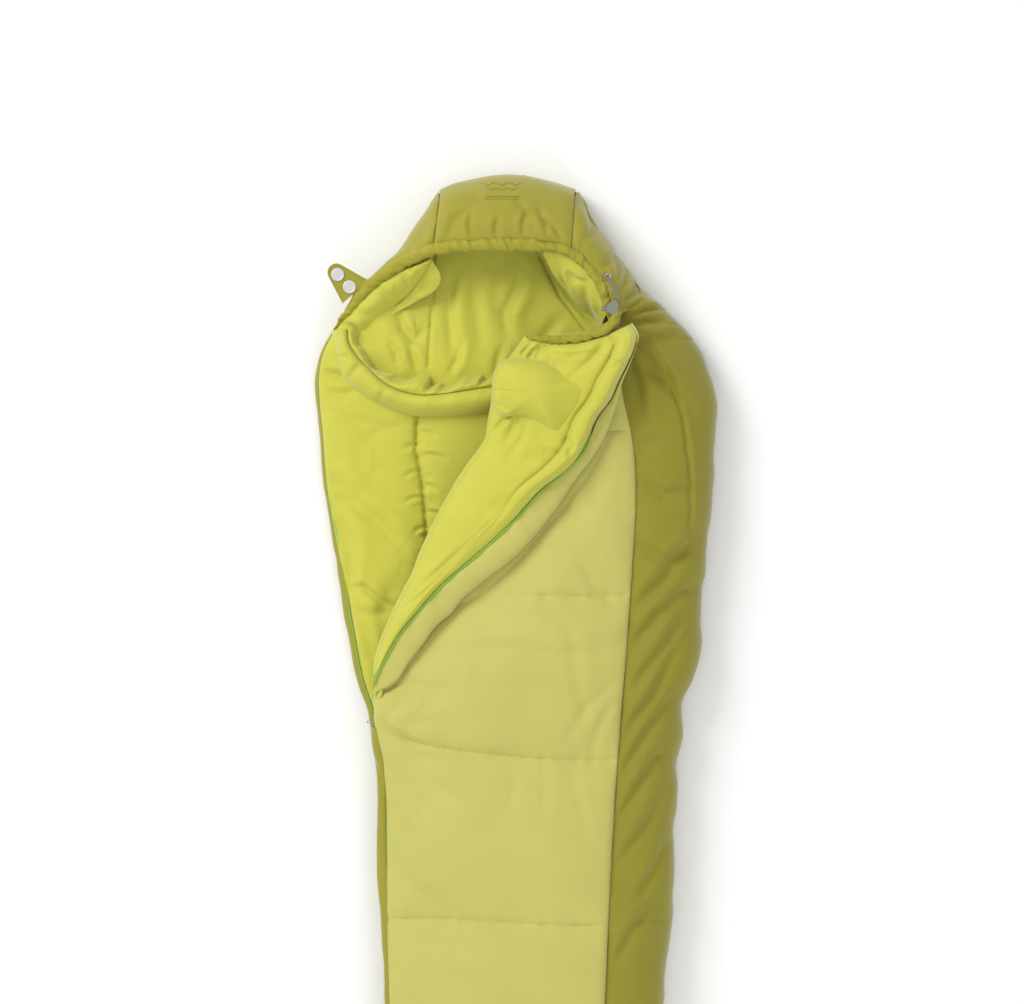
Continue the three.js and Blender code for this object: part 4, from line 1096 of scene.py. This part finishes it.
def build_zips():
    def on_base(inwards, z):
        return line(*[(left_edge(y) + inwards, y, z) for y in np.linspace(-6, 722, 24)])

    zip_tape("base_zip_tape_cloth", on_base(11, 42.6), on_base(20, 42.6), "bag", ("base_zip_tape",))
    zip_coil("base_zip_coil_turns", on_base(12.5, 44.4), "bag", ("base_zip_coil",))
    zip_stop("base_zip_end", (left_edge(726) + 12.5, 728, 45.4), "bag", ("base_zip_stop",))

    low, high = np.array([-240, -660, 62.0]), np.array([-262, -34, 62.0])

    def closed(x, z):
        return line(*[at + (x, 0, z) for at in (low, (low + high) / 2, high)])

    zip_tape("closed_zip_tape_cloth", closed(0, -15), closed(0, 15), "bag", ("closed_zip_tape",))
    zip_coil("closed_zip_coil_turns", closed(-4, 0), "bag", ("closed_zip_coil",), 4, 6)
    zip_stop("closed_zip_end", low + (-4, -4, 0), "bag", ("zip_foot_stop",))

    shown = np.linspace(0.012, 0.97, 60)
    sunk = ramp(shown, GREEN_END, GREEN_END + 0.08)
    flat = ZIP_EDGE(shown) + (STRIP_EDGE(shown) - ZIP_EDGE(shown)) * 0.05 + np.outer(-9 * sunk, (1, 0))
    lift = flap_floor(flat) + zip_height(shown) + 3.2 - 20 * sunk
    edge = np.column_stack([flat, lift])
    zip_coil("flap_zip_coil_turns", line(*edge), "flap", ("flap_zip_coil",), 3.6, 3.0)
    sides = [line(*(edge + off)) for off in ((-4.5, 2.5, -1.6), (2.4, -1.4, -1.6))]
    zip_tape("flap_zip_tape_cloth", *sides, "flap", ("flap_zip_tape",))
    zip_stop("flap_zip_end", edge[-1] + (-2, 6, -1), "flap", ("flap_zip_stop",))


def build_zip_cover():
    """The olive strip of the base that stands up in front of the closed zip."""
    u, v = grid(40, 580)
    y = mix(-906, -36, v)
    low_x, high_x = left_edge(y) + 3, PANEL_LEFT(y) + 1.5
    turn = u * np.pi / 2
    x = mix(low_x, high_x, 1 - np.cos(turn))
    z = mix(40, PANEL_LEFT_Z(y) + 3, np.sin(turn) ** 0.8)
    bulge = 5 * np.sin(np.pi * u) * np.clip(np.minimum(1 - v, v) * 30, 0, 1)
    bulge += pucker(u * 30, y, 131, pitch=34, reach=30, height=1.6) * np.sin(np.pi * u)
    bulge -= 4 * np.exp(-(((y + 110) / 9) ** 2)) * np.sin(np.pi * u)
    points = np.stack([x - bulge, y, z], -1)
    cloth_piece("zip_cover", points, OLIVE, "shell_olive", flip=-1)
    stitches("zip_cover_stitching", points[::4, 36] + (0, 0, 0.7), "bag")


# ------------------------------------------------------------------ inner linings seen from the mouth
def build_inner_linings():
    u, v = grid(60, 160)
    y = mix(-890, 728, v)
    x = mix(PANEL_LEFT(y) + 6, panel_seam(y) - 6, u)
    arch = np.sqrt(np.clip(1 - (2 * u - 1) ** 2, 0, 1))
    z = mix(PANEL_LEFT_Z(y) - 30, seam_height(y) - 34, u) + 30 * arch
    z = np.minimum(z, flap_floor(np.stack([x, y], -1)) - 32)
    cloth_piece("top_inner_lining", np.stack([x, y, z], -1), LIME, "lining", flip=-1,
                replaced=("top_panel_lining",))
    turn = u * np.pi / 2
    y = mix(-890, 764, v)
    x = mix(panel_seam(y) - 4, right_edge(y) - 38, np.sin(turn) ** 0.85)
    z = mix(44, seam_height(y) - 34, np.cos(turn) ** 0.8)
    cloth_piece("side_inner_lining", np.stack([x, y, z], -1), LIME, "lining", flip=-1,
                replaced=("side_panel_lining",))
    side = np.pi * (1 - u)
    y = mix(-896, FOOT + 44, v)
    middle, half = (left_edge(-900) + right_edge(-900)) / 2, (right_edge(y) - left_edge(y)) / 2 - 42
    x = middle + half * np.sign(np.cos(side)) * np.abs(np.cos(side)) ** 0.8
    z = 43 + 70 * np.sin(side) ** 0.7 * np.clip(1.05 - v, 0.05, 1) ** 0.5
    cloth_piece("footbox_inner_lining", np.stack([x, y, z], -1), LIME, "lining", flip=-1,
                replaced=("footbox_lining", "foot_wall_lining"))


# ------------------------------------------------------------------ hard pieces carried over from the frame
def finish_nodes():
    finishes = [
        (OLIVE, ("neck_tab",)), (METAL, ("cord_eyelet", "zip_slider", "zip_pull")),
        (SILVER, ("tab_stud_upper", "tab_stud_lower")), (LOCK, ("cord_lock", "cord_lock_button")),
    ]
    for material, names in finishes:
        for name in names:
            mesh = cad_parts[name].data
            mesh.materials.clear()
            mesh.materials.append(material)


def stitch_neck_tab():
    """A sewn line just inside the tab's edge, in the tab's own place on the bag."""
    root, along = np.array([-338.0, 812, 95]), np.array([0.761, 0.6485, 0])
    out = np.array([-along[1], along[0], 0])
    turn = np.linspace(0.1 * math.pi, 0.94 * math.pi, 24)
    tip = np.column_stack([31 + 15 * np.cos(turn), 57 + 15 * np.sin(turn)])
    edge = np.array([(66, 5), *tip, (4, 5)])
    route = root + edge[:, :1] * along + edge[:, 1:] * out
    stitches("neck_tab_stitching", route, "neck_tab")


build_base()
build_base_lining()
build_top()
build_side()
build_foot()
build_hood()
build_rim()
build_side_roll()
build_inner_cheek()
build_collar()
build_flap()
build_flap_edge()
build_fold_roll()
build_neck_edge()
build_lobe()
build_hem()
build_zips()
build_zip_cover()
build_inner_linings()
finish_nodes()
stitch_neck_tab()

add_floor()
